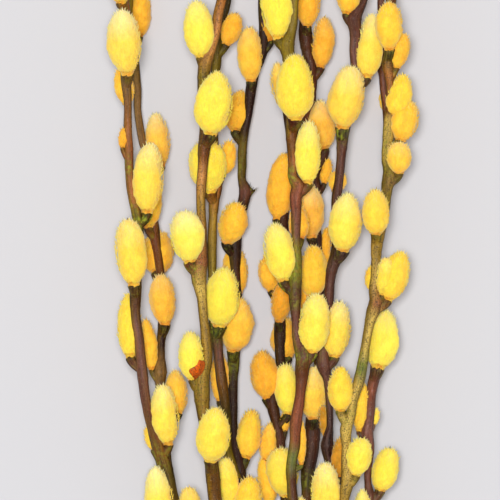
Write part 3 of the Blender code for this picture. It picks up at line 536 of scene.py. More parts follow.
def make_piece(name, skins, material, node):
    """Many skins put one after another into one mesh, with their values as layers on the points.

    What would reach below the table is pressed flat on it, as the lowest catkins are."""
    starts = np.cumsum([0] + [len(s[0]) for s in skins])
    points = to_frame(np.concatenate([s[0] for s in skins]))
    points[:, 2] = np.maximum(points[:, 2], 0.0)
    fours, threes = (np.concatenate([s[i] + start for s, start in zip(skins, starts)]) for i in (1, 2))
    mesh = bpy.data.meshes.new(name)
    mesh.vertices.add(len(points))
    mesh.vertices.foreach_set("co", points.ravel())
    corners = np.concatenate([fours.ravel(), threes.ravel()]).astype(np.int32)
    mesh.loops.add(len(corners))
    mesh.loops.foreach_set("vertex_index", corners)
    face_starts = np.concatenate([np.arange(len(fours)) * 4, len(fours) * 4 + np.arange(len(threes)) * 3])
    mesh.polygons.add(len(face_starts))
    mesh.polygons.foreach_set("loop_start", face_starts.astype(np.int32))
    mesh.update(calc_edges=True)
    mesh.polygons.foreach_set("use_smooth", np.ones(len(face_starts), dtype=bool))
    for layer_name in skins[0][3]:
        values = np.concatenate([s[3][layer_name] for s in skins])
        kind, key = LAYER_TYPES[values.ndim]
        mesh.attributes.new(layer_name, kind, "POINT").data.foreach_set(key, values.ravel())
    mesh.validate()
    if any(s[4] is not None for s in skins):
        own = np.array([vertex.vector for vertex in mesh.vertex_normals])
        for s, start in zip(skins, starts):
            if s[4] is not None:
                own[start:start + len(s[0])] = s[4]
        mesh.normals_split_custom_set_from_vertices(own.tolist())
    mesh.materials.append(material)
    piece = bpy.data.objects.new(name, mesh)
    bpy.context.scene.collection.objects.link(piece)
    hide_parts(node)
    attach(piece, "root")
    print(f"{name}: {len(fours) * 2 + len(threes)} triangles")


# %% [markdown]
# ## A rod
# A rod is a circle carried along its line. Where each spur leaves it, most of a spur's length below the
# catkin, it swells, with a fine ring where last year's scale was. Shallow wrinkles run along it, and its
# foot flares where it joins older wood. A point's colour is darkened on the rod's sides and underside,
# a painted shade of the light from above. Its place is kept as if the rod were pulled straight, so that
# streaks in the bark follow every bend. The olive and the algae each have the turn where they are
# strongest, and so has a painted light that lightens the bark on its upper left.

# %% Rods
ROD_SIDES = 20
ROD_STEP = 1.0
FOOT_FLARE, FLARE_LENGTH = 0.30, 7.0
SPUR_LENGTH, NODE_PLACE = 8.5, 0.8
SWELLING, SWELLING_REACH = 0.05, 3.0
SCAR, SCAR_REACH, SCAR_DROP = 0.06, 0.7, 3.0
WRINKLES, WRINKLE_SIZE = 0.045, 3.2
LUMPS, LUMP_SIZE = 0.03, 9.0
OLIVE_TURN, LIT_TURN, ALGAE_TURN = 2.9, 2.2, 2.6
OLIVE_PATCH, GLOSS_PATCH = 26.0, 9.0
# Painted shade: how dark a rod's sides and underside are painted, against its lit top.
PAINTED_SIDE_SHADE = 0.26
BARK_HAZE = np.array([0.004, 0.010, 0.016])
DARKEST = 0.002


def spur_length(catkin):
    """The ninth number of a catkin's entry, and the usual length where there are only eight."""
    return catkin[8] if len(catkin) > 8 else SPUR_LENGTH


def bark_values(colour, algae, place, lift, gloss):
    """Values for bark: colour less the haze that its shine adds, times a painted shade on the sides and
    underside.
    """
    shade = PAINTED_SIDE_SHADE + (1.0 - PAINTED_SIDE_SHADE) * ease((lift - 0.2) / 0.62)
    clean = np.maximum(colour - BARK_HAZE, DARKEST)
    return {"bark_colour": clean * shade[..., None], "algae": algae, "bark_place": place, "gloss": gloss}


def rod_skin(rod, seed):
    """Centre plus radius times the turned circle; the radius swells by bells at the nodes and ripples."""
    foot_y, tip_y = rod["route"][-1][1], rod["route"][0][1]
    y = np.linspace(foot_y, tip_y, int((tip_y - foot_y) / ROD_STEP) + 1)
    centre, radius = rod_at(rod, y)
    for catkin in rod["catkins"]:
        node_y = catkin[1] - spur_length(catkin) * NODE_PLACE
        radius = radius * (1 + SWELLING * bell(y, node_y, SWELLING_REACH)
                           + SCAR * bell(y, node_y - SCAR_DROP, SCAR_REACH))
    if rod is not LEADER:
        radius = radius * (1 + FOOT_FLARE * np.exp(-(y - foot_y) / FLARE_LENGTH))
    angle = full_turn(ROD_SIDES)
    _, circle = carried_circle(centre, angle)
    length = np.concatenate([[0], np.cumsum(np.linalg.norm(np.diff(centre, axis=0), axis=1))])
    place = straightened(radius, length, angle, seed * 31.0)
    uneven = (1 + WRINKLES * ripple(place * [1, 0.2, 1], WRINKLE_SIZE, seed)
              + LUMPS * ripple(place, LUMP_SIZE, seed + 1))
    rings = centre[:, None] + circle * (radius[:, None] * uneven)[..., None]
    olive_along = ease(0.5 + 1.2 * ripple(np.outer(y, [0, 1, 0]), OLIVE_PATCH, seed + 6))
    olive_round = rod.get("olive_edge", 0.15) * ease((np.cos(angle - OLIVE_TURN) - 0.35) / 0.5)
    colour = np.repeat(colour_at(rod, y)[:, None], ROD_SIDES, 1)
    colour = colour + (olive_round * olive_along[:, None])[..., None] * (OLIVE * 0.9 - colour)
    # Painted light: the bark is lightened towards the upper left and darkened on the side away from it.
    side_light = 0.86 + 0.16 * np.cos(angle - LIT_TURN)[:, None]
    algae = algae_at(rod, y)[:, None] * (0.7 + 0.5 * np.cos(angle - ALGAE_TURN))
    lift = np.repeat(np.sin(angle)[None], len(y), 0)
    gloss = 0.5 + 0.5 * ripple(place * [0, 0.3, 0], GLOSS_PATCH, seed + 2)
    return skin(rings, bark_values(colour * side_light, algae, place, lift, gloss))


print("points on the leading rod:", len(rod_skin(LEADER, 1)[0]))

# %% [markdown]
# ## A catkin's place
# The table gives only where a catkin's foot and tip show. Its height comes from the rod: a front catkin
# lies over the rod and touches it, a side catkin lies beside it, and a back one lies under it. The reach
# from the rod's line to the catkin's line is the rod's radius plus most of half the catkin's width, and
# Pythagoras turns what isn't sideways into lift.

# %% Where each catkin sits
CATKIN_NESTLE = 0.8
FOOT_LIFT, TIP_LIFT = 0.5, 1.25
LAST_WIDTH, LAST_SUNK, LAST_REACH = 9.5, 2.0, 22.0


def catkin_ends(rod, catkin):
    """Foot and tip: the lift is the root of reach squared less the sideways distance squared."""
    foot_x, foot_y, tip_x, tip_y, width, side = catkin[:6]
    axis, radius = rod_at(rod, (foot_y + tip_y) / 2)
    sideways = (foot_x + tip_x) / 2 - axis[0, 0]
    reach = radius[0] + CATKIN_NESTLE * width / 2
    lift = side * np.sqrt(max(0.0, reach ** 2 - sideways ** 2))
    foot_z = rod_at(rod, foot_y)[0][0, 2] + FOOT_LIFT * lift
    tip_z = rod_at(rod, tip_y)[0][0, 2] + TIP_LIFT * lift
    return np.array([foot_x, foot_y, foot_z]), np.array([tip_x, tip_y, tip_z])


def last_catkin(rod):
    """Foot, tip and width of the catkin that carries on straight from the rod's end."""
    tip_y = rod["route"][0][1]
    before, end = rod_at(rod, [tip_y - 4.0, tip_y])[0]
    growth = unit(end - before)
    return end - growth * LAST_SUNK, end + growth * LAST_REACH, LAST_WIDTH


SAMPLE = LEADER["catkins"][0]
SAMPLE_LOOK = (*catkin_ends(LEADER, SAMPLE), SAMPLE[4], SAMPLE[6], SAMPLE[7], 1)
print("foot and tip of one catkin:", *SAMPLE_LOOK[:2])

# %% [markdown]
# ## A cup
# Under each catkin the bark swells into a cup, dark and often nearly black at its ragged rim. Its line
# leaves the rod along the rod's own direction and arrives at the catkin's foot along the catkin's axis,
# which is what a cubic curve with two handles does. The last rings turn in, so that the rim has
# thickness and the cup is closed under the catkin.

# %% Cups
CUP_SIDES = 18
CUP_ROWS = 16
CUP_SHARE = 0.20
SPUR_SHARE, LEAST_TOP_SHARE = 0.8, 0.55
RIM_PLACE, RIM_SWELLING = 0.93, 0.07
RAGGEDNESS = 0.55
LIP_SHARE, WELL_SHARE = 0.82, 0.5
CUP_DARKENING, LIP_LIGHT = 0.55, 1.3


def handle_curve(start, start_handle, end_handle, end, t):
    """A cubic curve: the four points weighted by the cube law in t and one less t."""
    s = 1 - t
    return (s ** 3 * start + 3 * s * s * t * start_handle + 3 * s * t * t * end_handle + t ** 3 * end)


def cup_skin(rod, catkin, seed):
    """Rings on the handled curve; the radius eases from the rod's to a share of the catkin's width."""
    foot, tip = catkin_ends(rod, catkin)
    axis = unit(tip - foot)
    length = spur_length(catkin)
    start, radius = (part[0] for part in rod_at(rod, foot[1] - length))
    rod_way = unit(rod_at(rod, foot[1] - length + 1.0)[0][0] - start)
    end = foot + axis * 0.7
    reach = np.linalg.norm(end - start)
    up = np.linspace(0, 1, CUP_ROWS)
    centre = handle_curve(start, start + rod_way * reach * 0.45, end - axis * reach * 0.35, end, up[:, None])
    angle = full_turn(CUP_SIDES)
    along, circle = carried_circle(centre, angle)
    low, top = SPUR_SHARE * radius, max(CUP_SHARE * catkin[4], LEAST_TOP_SHARE * radius)
    girth = (low + (top - low) * ease(up ** 1.15)) * (1 + RIM_SWELLING * bell(up, RIM_PLACE, 0.06))
    place = straightened(girth, up * length, angle, seed * 17.0)
    rings = centre[:, None] + circle * (girth[:, None] * (1 + 0.05 * ripple(place, 3.0, seed)))[..., None]
    ragged = RAGGEDNESS * ripple(place[-1] * [1, 0, 1], 2.2, seed + 5)[:, None]
    rings[-1] += along[-1] * ragged
    rings[-2] += along[-2] * (ragged * 0.5)
    lip = centre[-1] + circle[-1] * girth[-1] * LIP_SHARE + along[-1] * (ragged - 0.1)
    well = centre[-1] + circle[-1] * girth[-1] * WELL_SHARE - along[-1] * 0.6
    rings = np.concatenate([rings, lip[None], well[None]])
    y = centre[:, 1]
    dark = 1 - CUP_DARKENING * ease((up - 0.45) / 0.5)[:, None]
    colour = colour_at(rod, y)[:, None] * (dark * (1 + 0.18 * ripple(place, 4.0, seed + 3)))[..., None]
    colour = np.maximum(np.concatenate([colour, colour[-1:] * LIP_LIGHT, colour[-1:]]), DARKEST)
    place = np.concatenate([place, place[-1:] * [0.8, 1, 0.8], place[-1:] * [WELL_SHARE, 1, WELL_SHARE]])
    algae = np.repeat((algae_at(rod, y) + 0.25 * up)[:, None], CUP_SIDES, 1)
    algae = np.concatenate([algae, algae[-1:], algae[-1:]]) * (0.6 + 0.8 * ripple(place, 5.0, seed + 4))
    lift = np.concatenate([circle, circle[-1:], circle[-1:]])[..., 2]
    gloss = np.full(lift.shape, 0.45)
    return skin(rings, bark_values(colour, np.clip(algae, 0, 1), place, lift, gloss))


print("points on its cup:", len(cup_skin(LEADER, SAMPLE, 1)[0]))

# %% [markdown]
# ## A catkin
# A catkin is an egg, heavier at its foot, set with dozens of tiny flowers in crossing spirals like the
# scales of a cone. The spirals come from two cosine waves wound five and eight times round. The foot is
# amber, and the side turned away from a set sun direction is painted warmer, a painted shade, so each
# point keeps how warm it is, how pale, and how far from the foot. A small angle is left free at both ends
# for the fans that close the egg.

# %% Catkins
CATKIN_SIDES = 40
CATKIN_ROWS = 36
HEAVY_FOOT = 0.05
END_GAP = 0.06
TUFT_HEIGHT, TUFT_WINDING = 0.22, 1.6
BROAD_LUMPS, SMALL_LUMPS = 0.085, 0.04
LEAN = 0.03
# SUN only sets the painted shade: fur turned away from it is painted warmer, towards amber.
SUN = unit(np.array([-0.55, 0.2, 0.8]))
PAINTED_SHADE_WARMTH, FOOT_WARMTH, WARM_FOOT = 0.18, 0.35, 0.35


def egg_radius(fall, width, seed):
    """Half the width times a power of the sine of the angle: above one at the narrow foot, near one at
    the tip. How heavy the foot is and how blunt the tip is swing a little from catkin to catkin."""
    share = (1 + np.cos(fall)) / 2
    power = 0.93 + 0.42 * (1 - share) ** 3 + (0.08 + 0.16 * np.sin(seed * 2.3)) * share ** 2
    heavy = HEAVY_FOOT + 0.09 * np.sin(seed * 1.9)
    return width / 2 * np.sin(fall) ** power * (1 - heavy * np.cos(fall))


def catkin_values(points, foot, axis, outward, share, warmth, pale, seed):
    """Warmth rises towards the foot, and away from the sun as painted shade; the place is measured along the
    catkin.
    """
    away = 1 - ease((outward @ SUN + 1) / 2)
    warm = warmth + PAINTED_SHADE_WARMTH * (away - 0.10) + FOOT_WARMTH * np.clip(WARM_FOOT - share, 0, 1)
    from_foot = points - foot
    across, upward = across_and_upward(axis)
    place = np.stack([from_foot @ across + seed * 23.0, from_foot @ axis, from_foot @ upward], axis=-1)
    return {"warmth": warm, "paleness": np.full(warm.shape, float(pale)),
            "foot_to_tip": np.broadcast_to(share, warm.shape), "fur_place": place}


def catkin_skin(foot, tip, width, warmth, pale, seed):
    """The egg with the two crossing spirals of tufts added to its radius, and a slight lean."""
    axis = unit(tip - foot)
    across, upward = across_and_upward(axis)
    fall = np.linspace(END_GAP, np.pi - END_GAP, CATKIN_ROWS)[:, None]
    turn = full_turn(CATKIN_SIDES)[None]
    share = (1 + np.cos(fall)) / 2
    outward = around(turn, across, upward)
    length = np.linalg.norm(tip - foot)
    s = share * length
    tufts = (np.cos(5 * turn + TUFT_WINDING * s + seed) + np.cos(8 * turn - TUFT_WINDING * s)) / 2
    slim = ease(np.sin(np.pi * share) * 2.2)
    on_egg = outward * width / 2 + s[..., None] * axis
    uneven = 1 + BROAD_LUMPS * ripple(on_egg, 12.0, seed) + SMALL_LUMPS * ripple(on_egg, 4.5, seed + 9)
    body = egg_radius(fall, width, seed) * uneven + TUFT_HEIGHT * tufts * slim
    lean = LEAN * length * np.sin(np.pi * share)[..., None] * across * np.sin(seed * 2.4)
    points = foot + s[..., None] * axis + body[..., None] * outward + lean
    return skin(points, catkin_values(points, foot, axis, outward, share, warmth, pale, seed))


print("points on its egg:", len(catkin_skin(*SAMPLE_LOOK)[0]))

# %% [markdown]
# ## The collar at the foot
# Between the bark cup and the fur sits a thin orange-brown collar, the rest of the bud's inner scale. It
# is about the lowest twelfth of the egg, a little larger, with a torn upper edge that turns in to the
# fur.

# %% Collars
COLLAR_SIDES = 20
COLLAR_SHARES = np.array([0.0, 0.012, 0.03, 0.055, 0.08, 0.085, 0.065])[:, None]
COLLAR_TURNED_IN = np.array([0.0, 0.0, 0.0, 0.0, 0.0, 0.3, 0.9])[:, None]
COLLAR_PROUD, COLLAR_TORN = 0.3, 0.8
COLLAR_PLACE = 0.03


def collar_skin(foot, tip, width, warmth, pale, seed):
    """The greater of the cup's rim and a little over the egg's radius, with a torn edge turned in."""
    axis = unit(tip - foot)
    outward = around(full_turn(COLLAR_SIDES), *across_and_upward(axis))[None]
    share = COLLAR_SHARES
    egg = egg_radius(np.arccos(2 * share - 1), width, seed)
    girth = np.maximum(egg + COLLAR_PROUD, CUP_SHARE * width) - COLLAR_TURNED_IN
    torn = COLLAR_TORN * ripple(outward * 3.0, 1.9, seed + 11)
    wrinkle = 1 + 0.05 * ripple(outward * 6.0 + share[..., None] * 40.0, 2.0, seed + 12)
    rise = share * np.linalg.norm(tip - foot) + torn * np.clip(share / 0.07, 0, 1)
    points = foot + rise[..., None] * axis + (girth * wrinkle)[..., None] * outward
    values = catkin_values(points, foot, axis, np.repeat(outward, len(share), 0), share, warmth, pale, seed)
    values["foot_to_tip"] = np.full(points.shape[:2], COLLAR_PLACE)
    return skin(points, values)


print("points on its collar:", len(collar_skin(*SAMPLE_LOOK)[0]))

# %% [markdown]
# ## Spikes, and the hairs made of them
# Seen close, a catkin's edge is not smooth but fringed with silky hairs that lean towards the tip. Real
# hairs would be far too many, so a few hundred slim spikes stand for them: fine ones all over, and fewer
# broad ones for hairs that have stuck together in a lick. They are spread by the golden angle, which
# never lines them up, and all of a catkin's spikes are made in one step. Each spike's normal is the
# egg's own outward direction, turned far towards the sky, because light also comes through a hair.

# %% Hairs
FINE_HAIRS = {"per_square_mm": 0.30, "length": 1.2, "width": 0.14, "spread": 0.75, "from": 0.0}
LICKS = {"per_square_mm": 0.26, "length": 1.75, "width": 0.45, "spread": 0.62, "from": 0.06}
GOLDEN_ANGLE = np.pi * (3 - 5 ** 0.5)
EGG_AREA = 2.4
HAIR_DEPTH = 0.2
TIPWARD = 1.3
SKYWARD = 0.9
HAIR_TIP_PALENESS = 0.5


def spikes(bases, ways, lengths, widths):
    """Three points round each base and one at its tip, joined by four three-sided faces."""
    across = unit(np.cross(ways, UP + 0.01))
    corners = around(full_turn(3), across[:, None], np.cross(ways, across)[:, None])
    ring = bases[:, None] + widths[:, None, None] * corners
    points = np.concatenate([ring, (bases + ways * lengths[:, None])[:, None]], axis=1).reshape(-1, 3)
    first = 4 * np.arange(len(bases))[:, None]
    faces = np.concatenate([first + f for f in ([0, 1, 3], [1, 2, 3], [2, 0, 3], [0, 2, 1])])
    return points, np.zeros((0, 4), dtype=int), faces


def hair_skin(foot, tip, width, warmth, pale, seed, kind):
    """Bases at golden-angle turns on the egg; each hair points outwards and about twice as much along."""
    chance = np.random.default_rng(1000 + seed)
    length = np.linalg.norm(tip - foot)
    count = int(kind["per_square_mm"] * EGG_AREA * width * length)
    axis = unit(tip - foot)
    level = (np.arange(count) + 0.5) / count * (1 - kind["from"])
    fall = np.arccos(1 - 2 * level)
    turn = np.arange(count) * GOLDEN_ANGLE + chance.uniform(-0.3, 0.3, count)
    share = (1 + np.cos(fall)) / 2
    outward = around(turn, *across_and_upward(axis))
    rooted = egg_radius(fall, width, seed) - HAIR_DEPTH
    bases = foot + (share * length)[:, None] * axis + rooted[:, None] * outward
    ways = unit(outward * (kind["spread"] * chance.uniform(0.5, 1.3, count))[:, None] + axis * TIPWARD
                + chance.normal(scale=0.2, size=(count, 3)))
    lengths = kind["length"] * chance.uniform(0.5, 1.3, count)
    points, fours, threes = spikes(bases, ways, lengths, np.full(count, kind["width"]))
    values = catkin_values(np.repeat(bases, 4, 0), foot, axis, np.repeat(outward, 4, 0),
                           np.repeat(share, 4), warmth, pale, seed)
    paler = np.tile([0.0, 0.0, 0.0, HAIR_TIP_PALENESS], count)
    values["paleness"] = np.clip(values["paleness"] + paler, 0, 1)
    return points, fours, threes, values, np.repeat(unit(outward + 0.2 * axis + SKYWARD * UP), 4, 0)


print("fine hairs on it:", len(hair_skin(*SAMPLE_LOOK, FINE_HAIRS)[0]) // 4)

# %% [markdown]
# ## A bud scale, bristles and moss
# One catkin still wears part of its bud scale, a stiff red-brown wedge at its lower right, narrow at the
# foot. It is a ring of points that runs over the outside and back along the inside, stacked up the
# catkin. The empty spur ends in a few bristles, and two rods have a little moss. Bristles and moss are
# spikes again.

# %% Scale, bristles, moss
SCALE_RED = paint(190, 84, 36)
SCALE_ROWS, SCALE_SIDE = 12, 12
SCALE_OUTSIDE, SCALE_INSIDE = 1.12, 1.03
BRISTLES = 9
MOSS_GREEN = paint(96, 136, 34)


def scale_skin(foot, tip, width, facing, seed):
    """A wedge, narrow at the foot: a share of the egg's radius, outside and inside, plus a little more
    below, where it stands on the cup. How far it swings to each side grows as the root of its rise."""
    axis = unit(tip - foot)
    rise = np.linspace(0.0, 1.0, SCALE_ROWS)[:, None]
    half_angle = 0.9 * np.sqrt(np.clip(rise, 0.06, 1) * np.clip(1 - rise ** 6, 0.02, 1))
    swing = np.concatenate([np.linspace(-1, 1, SCALE_SIDE), np.linspace(1, -1, SCALE_SIDE)])[None]
    share = 0.02 + (0.34 - 0.07 * swing) * rise
    girth = egg_radius(np.arccos(2 * share - 1), width, seed) * np.repeat(
        [SCALE_OUTSIDE, SCALE_INSIDE], SCALE_SIDE) + 0.2 + 0.9 * (1 - rise)
    outward = around(facing + half_angle * swing, *across_and_upward(axis))
    points = foot + (share * np.linalg.norm(tip - foot))[..., None] * axis + girth[..., None] * outward
    colour = SCALE_RED * np.broadcast_to(0.8 + 0.4 * rise, share.shape)[..., None]
    full = np.ones(share.shape)
    place = (points - foot) + [seed * 13.0, 0, 0]
    return skin(points, bark_values(colour, full * 0, place, full, full * 0.5))


def spike_skin(bases, ways, lengths, widths, colour, algae):
    """Spikes with bark values, each with its base's colour."""
    points, fours, threes = spikes(bases, ways, lengths, widths)
    full = np.ones(len(points))
    values = bark_values(np.repeat(colour, 4, 0), full * algae, points.copy(), full, full * 0.3)
    return points, fours, threes, values, None


def bristle_skin(base, way, radius):
    """Nine bristles round the rim of the empty spur, a third of them olive, the rest dark."""
    turn = np.arange(BRISTLES) * 2 * np.pi / BRISTLES
    ring = around(turn, *across_and_upward(way))
    colour = np.where((np.arange(BRISTLES) % 3 == 0)[:, None], OLIVE * 1.2, NEAR_BLACK)
    lengths = 2.0 + 1.1 * np.sin(turn * 2.3 + 1.0)
    return spike_skin(base + ring * radius * 0.8, unit(way + ring * 0.45), lengths,
                      np.full(BRISTLES, 0.28), colour, 0.2)


def moss_skin(rod, low, high, count, facing, seed):
    """Short green spikes at seeded places on one side of a rod, leaning outwards."""
    chance = np.random.default_rng(seed)
    y = chance.normal((low + high) / 2, (high - low) / 4, count)
    centre, radius = rod_at(rod, y)
    turn = facing + chance.normal(0, 0.45, count)
    outward = np.column_stack([np.cos(turn), np.zeros(count), np.sin(turn)])
    ways = unit(outward + chance.normal(scale=0.5, size=(count, 3)))
    colour = MOSS_GREEN * chance.uniform(0.5, 1.25, (count, 1))
    return spike_skin(centre + outward * (radius * 0.9)[:, None], ways, chance.uniform(0.5, 1.3, count),
                      np.full(count, 0.22), colour, 0.0)


print("points on a bud scale:", len(scale_skin(*SAMPLE_LOOK[:3], 0.0, 1)[0]))

# %% [markdown]
# ## Shader nodes in few words
# A material is a tree of nodes, and a script that makes one needs the same few steps again and again: a
# new node, its inputs set or linked, two colours mixed, two numbers multiplied. A short function for
# each keeps the materials below readable.

# %% Small helpers for node trees


def fill(tree, made, inputs):
    """Sets each named input of a node to its value, or links it to its socket."""
    for key, value in inputs.items():
        if isinstance(value, bpy.types.NodeSocket):
            tree.links.new(value, made.inputs[key])
        else:
            made.inputs[key].default_value = value


def node(tree, kind, inputs=None, **settings):
    """A new node with its settings, and its inputs filled."""
    made = tree.nodes.new(kind)
    for key, value in settings.items():
        setattr(made, key, value)
    fill(tree, made, inputs or {})
    return made


def placed(tree, group, **inputs):
    """One use of a group in a material's tree; an underscore in an input's name stands for a space."""
    named = {key.replace("_", " "): value for key, value in inputs.items()}
    return node(tree, "ShaderNodeGroup", named, node_tree=group).outputs["Mask"]


def kept(tree, layer, output="Fac"):
    """What the mesh keeps in a layer for each point."""
    return node(tree, "ShaderNodeAttribute", attribute_name=layer).outputs[output]


def between(tree, value, low, high):
    """Nought at the one end of a range, one at the other, and even between them."""
    made = node(tree, "ShaderNodeMapRange", {"Value": value, "From Min": low, "From Max": high})
    return made.outputs["Result"]


def mixed(tree, share, first, second, blend="MIX"):
    """A colour mix: how much of the second colour shows, the first colour, the second."""
    return node(tree, "ShaderNodeMix", {0: share, 6: first, 7: second}, data_type="RGBA",
                blend_type=blend).outputs[2]


def maths(tree, operation, first, second):
    """One step of arithmetic on two numbers or sockets."""
    return node(tree, "ShaderNodeMath", {0: first, 1: second}, operation=operation).outputs[0]


def times(tree, first, second):
    """The one number times the other."""
    return maths(tree, "MULTIPLY", first, second)


def plus(tree, first, second):
    """The one number plus the other."""
    return maths(tree, "ADD", first, second)


def opaque(red, green, blue):
    """A screen colour in linear light, with the fourth number that a colour socket wants."""
    return (*paint(red, green, blue), 1.0)


def raise_relief(tree, shader, height, strength, distance):
    """A bump from the height, led into the shader's normal; the distance is in metres."""
    bump = node(tree, "ShaderNodeBump", {"Height": height, "Strength": strength, "Distance": distance})
    fill(tree, shader, {"Normal": bump.outputs["Normal"]})


print("black as a colour socket wants it:", [float(part) for part in opaque(0, 0, 0)])

# %% [markdown]
# ## Speckles and streaks, made once
# Bark, fur and the sawn end all need fine specks and lengthwise streaks at different sizes. A node group
# with named inputs is built once for each and placed in every material that needs it. A group puts out
# only masks here; the shader itself stays in each material.

# %% Node groups for specks and streaks


def mask_group(name, extra, detail, place_and_range):
    """A group that puts out noise at a place, spread over a range; its inputs give the two or alter them."""
    group = bpy.data.node_groups.new(name, "ShaderNodeTree")
    for label, kind, default in (("Place", "NodeSocketVector", (0.0, 0.0, 0.0)),
                                 ("Per mm", "NodeSocketFloat", 1.0), *extra):
        group.interface.new_socket(label, in_out="INPUT", socket_type=kind).default_value = default
    group.interface.new_socket("Mask", in_out="OUTPUT", socket_type="NodeSocketFloat")
    given = group.nodes.new("NodeGroupInput").outputs
    place, low, high = place_and_range(group, given)
    noise = node(group, "ShaderNodeTexNoise", {"Vector": place, "Scale": given["Per mm"], "Detail": detail})
    mask = between(group, noise.outputs["Fac"], low, high)
    fill(group, group.nodes.new("NodeGroupOutput"), {"Mask": mask})
    return group


def for_specks(group, given):
    """Specks: noise is kept only where it passes the threshold, with a soft edge."""
    return given["Place"], given["Threshold"], plus(group, given["Threshold"], given["Softness"])


def for_streaks(group, given):
    """Streaks: the place's second number is shrunk, so the noise stretches along the growth."""
    squeezed = node(group, "ShaderNodeVectorMath", {0: given["Place"], 1: given["Squeeze"]},
                    operation="MULTIPLY")
    return squeezed.outputs["Vector"], 0.36, 0.64


SPECKS = mask_group("specks", [("Threshold", "NodeSocketFloat", 0.6), ("Softness", "NodeSocketFloat", 0.06)],
                    2.0, for_specks)
STREAKS = mask_group("streaks", [("Squeeze", "NodeSocketVector", (1.0, 0.1, 1.0))], 3.0, for_streaks)


def new_material(name):
    """A material with an empty tree but for its output and its Principled shader."""
    material = bpy.data.materials.new(name)
    material.use_nodes = True
    tree = material.node_tree
    tree.nodes.clear()
    shader = tree.nodes.new("ShaderNodeBsdfPrincipled")
    tree.links.new(shader.outputs["BSDF"], tree.nodes.new("ShaderNodeOutputMaterial").inputs["Surface"])
    return material, tree, shader


print("groups:", SPECKS.name, STREAKS.name)

# %% [markdown]
# ## Bark
# Willow bark is thin and waxy. Its colour comes from the points, which carry a painted shade on the
# sides and underside and a painted light on the upper left, then streaks run along it, pale pores and
# dark specks sit on it, and algae lies in patches. Along the fine wrinkles the colour is lightened, a
# painted highlight. The same masks drive the roughness, so algae is dull and clean bark shines, and they
# raise a fine relief. The rods differ in three values: above which noise a speck shows, the streaks'
# colour, and how dull the bark is.

# %% Bark material


def bark_material(name, speck_threshold, streak, dullness):
    """Point colour, streaked, specked and greened, with a painted highlight along each wrinkle; roughness
    and relief follow the same masks.
    """
    material, tree, shader = new_material(name)
    place = kept(tree, "bark_place", "Vector")
    streaks = placed(tree, STREAKS, Place=place, Per_mm=0.9, Squeeze=(1.0, 0.07, 1.0))
    wrinkles_and_highlights = placed(tree, STREAKS, Place=place, Per_mm=2.6, Squeeze=(1.0, 0.14, 1.0))
    bands = placed(tree, STREAKS, Place=place, Per_mm=0.55, Squeeze=(1.0, 0.05, 1.0))
    specks = placed(tree, SPECKS, Place=place, Per_mm=1.5, Threshold=speck_threshold)
    pores = placed(tree, SPECKS, Place=place, Per_mm=2.2, Threshold=0.67, Softness=0.03)
    patches = placed(tree, SPECKS, Place=place, Per_mm=0.55, Threshold=0.42, Softness=0.16)
    colour = mixed(tree, times(tree, streaks, 0.34), kept(tree, "bark_colour", "Color"), opaque(*streak))
    colour = mixed(tree, times(tree, bands, 0.62), colour, (0.28, 0.25, 0.22, 1.0), "MULTIPLY")
    # Painted highlight: the colour is lightened along each wrinkle.
    colour = mixed(tree, times(tree, wrinkles_and_highlights, 0.5), colour, (2.0, 1.85, 1.7, 1.0), "MULTIPLY")
    colour = mixed(tree, times(tree, specks, 0.72), colour, opaque(30, 24, 18))
    colour = mixed(tree, times(tree, pores, 0.55), colour, opaque(186, 160, 120))
    greenness = times(tree, kept(tree, "algae"), plus(tree, patches, 0.15))
    green = mixed(tree, streaks, opaque(56, 68, 32), opaque(158, 164, 44))
    colour = mixed(tree, node(tree, "ShaderNodeClamp", {"Value": greenness}).outputs[0], colour, green)
    dull = plus(tree, times(tree, greenness, 0.4), times(tree, streaks, 0.16))
    rough = maths(tree, "SUBTRACT", plus(tree, dull, dullness), times(tree, kept(tree, "gloss"), 0.20))
    rough = node(tree, "ShaderNodeClamp", {"Value": rough, "Min": 0.2, "Max": 0.95}).outputs[0]
    relief = plus(tree, times(tree, wrinkles_and_highlights, 0.6), times(tree, pores, 0.7))
    raise_relief(tree, shader, plus(tree, relief, times(tree, greenness, 0.8)), 0.55, 0.00025)
    fill(tree, shader, {"Base Color": colour, "Roughness": rough, "Specular IOR Level": 0.13})
    return material


BARK_LOOKS = {
    "main_stem": (0.60, (74, 50, 36), 0.42),
    "left_fork": (0.62, (126, 98, 40), 0.44),
    "left_rod": (0.55, (128, 92, 40), 0.42),
    "middle_fork": (0.60, (58, 46, 26), 0.46),
    "inner_rod": (0.66, (60, 46, 22), 0.48),
    "right_inner_rod": (0.66, (80, 54, 42), 0.44),
    "right_middle_rod": (0.62, (112, 84, 76), 0.42),
    "right_front_rod": (0.54, (148, 122, 60), 0.47),
    "right_back_rod": (0.64, (150, 104, 88), 0.36),
}
BARKS = {shoot: bark_material(f"{shoot}_bark", *look) for shoot, look in BARK_LOOKS.items()}
print("bark materials:", len(BARKS))

# %% [markdown]
# ## Fur
# The fur's yellow runs from lemon through amber to a dull mustard with the point's warmth, and a soft
# mottling stands for the flowers under the hair. Part of that warmth is painted shade, and the dull
# mustard is painted deep shade only. The foot has an orange-brown ring, and some tips and edges are
# bleached. Sheen on the shader gives the pale glow that short hair has where the eye only grazes it.

# %% Fur material
FULL_HEAT = 1.6
# Past amber the ramp runs to a dull mustard, which is painted deep shade.
HEAT_COLOURS = [(0.0, (253, 227, 73)), (0.35, (254, 209, 62)), (0.68, (252, 186, 52)),
                (1.0, (234, 160, 38)), (FULL_HEAT, (160, 116, 26))]


def heat_ramp(tree, heat):
    """The yellow for each heat, mixed evenly between the two nearest colours of the list."""
    made = node(tree, "ShaderNodeValToRGB", {"Fac": maths(tree, "DIVIDE", heat, FULL_HEAT)})
    stops = made.color_ramp.elements
    for heat_there, _ in HEAT_COLOURS[1:-1]:
        stops.new(heat_there / FULL_HEAT)
    for stop, (_, colour) in zip(stops, HEAT_COLOURS):
        stop.color = opaque(*colour)
    return made.outputs["Color"]


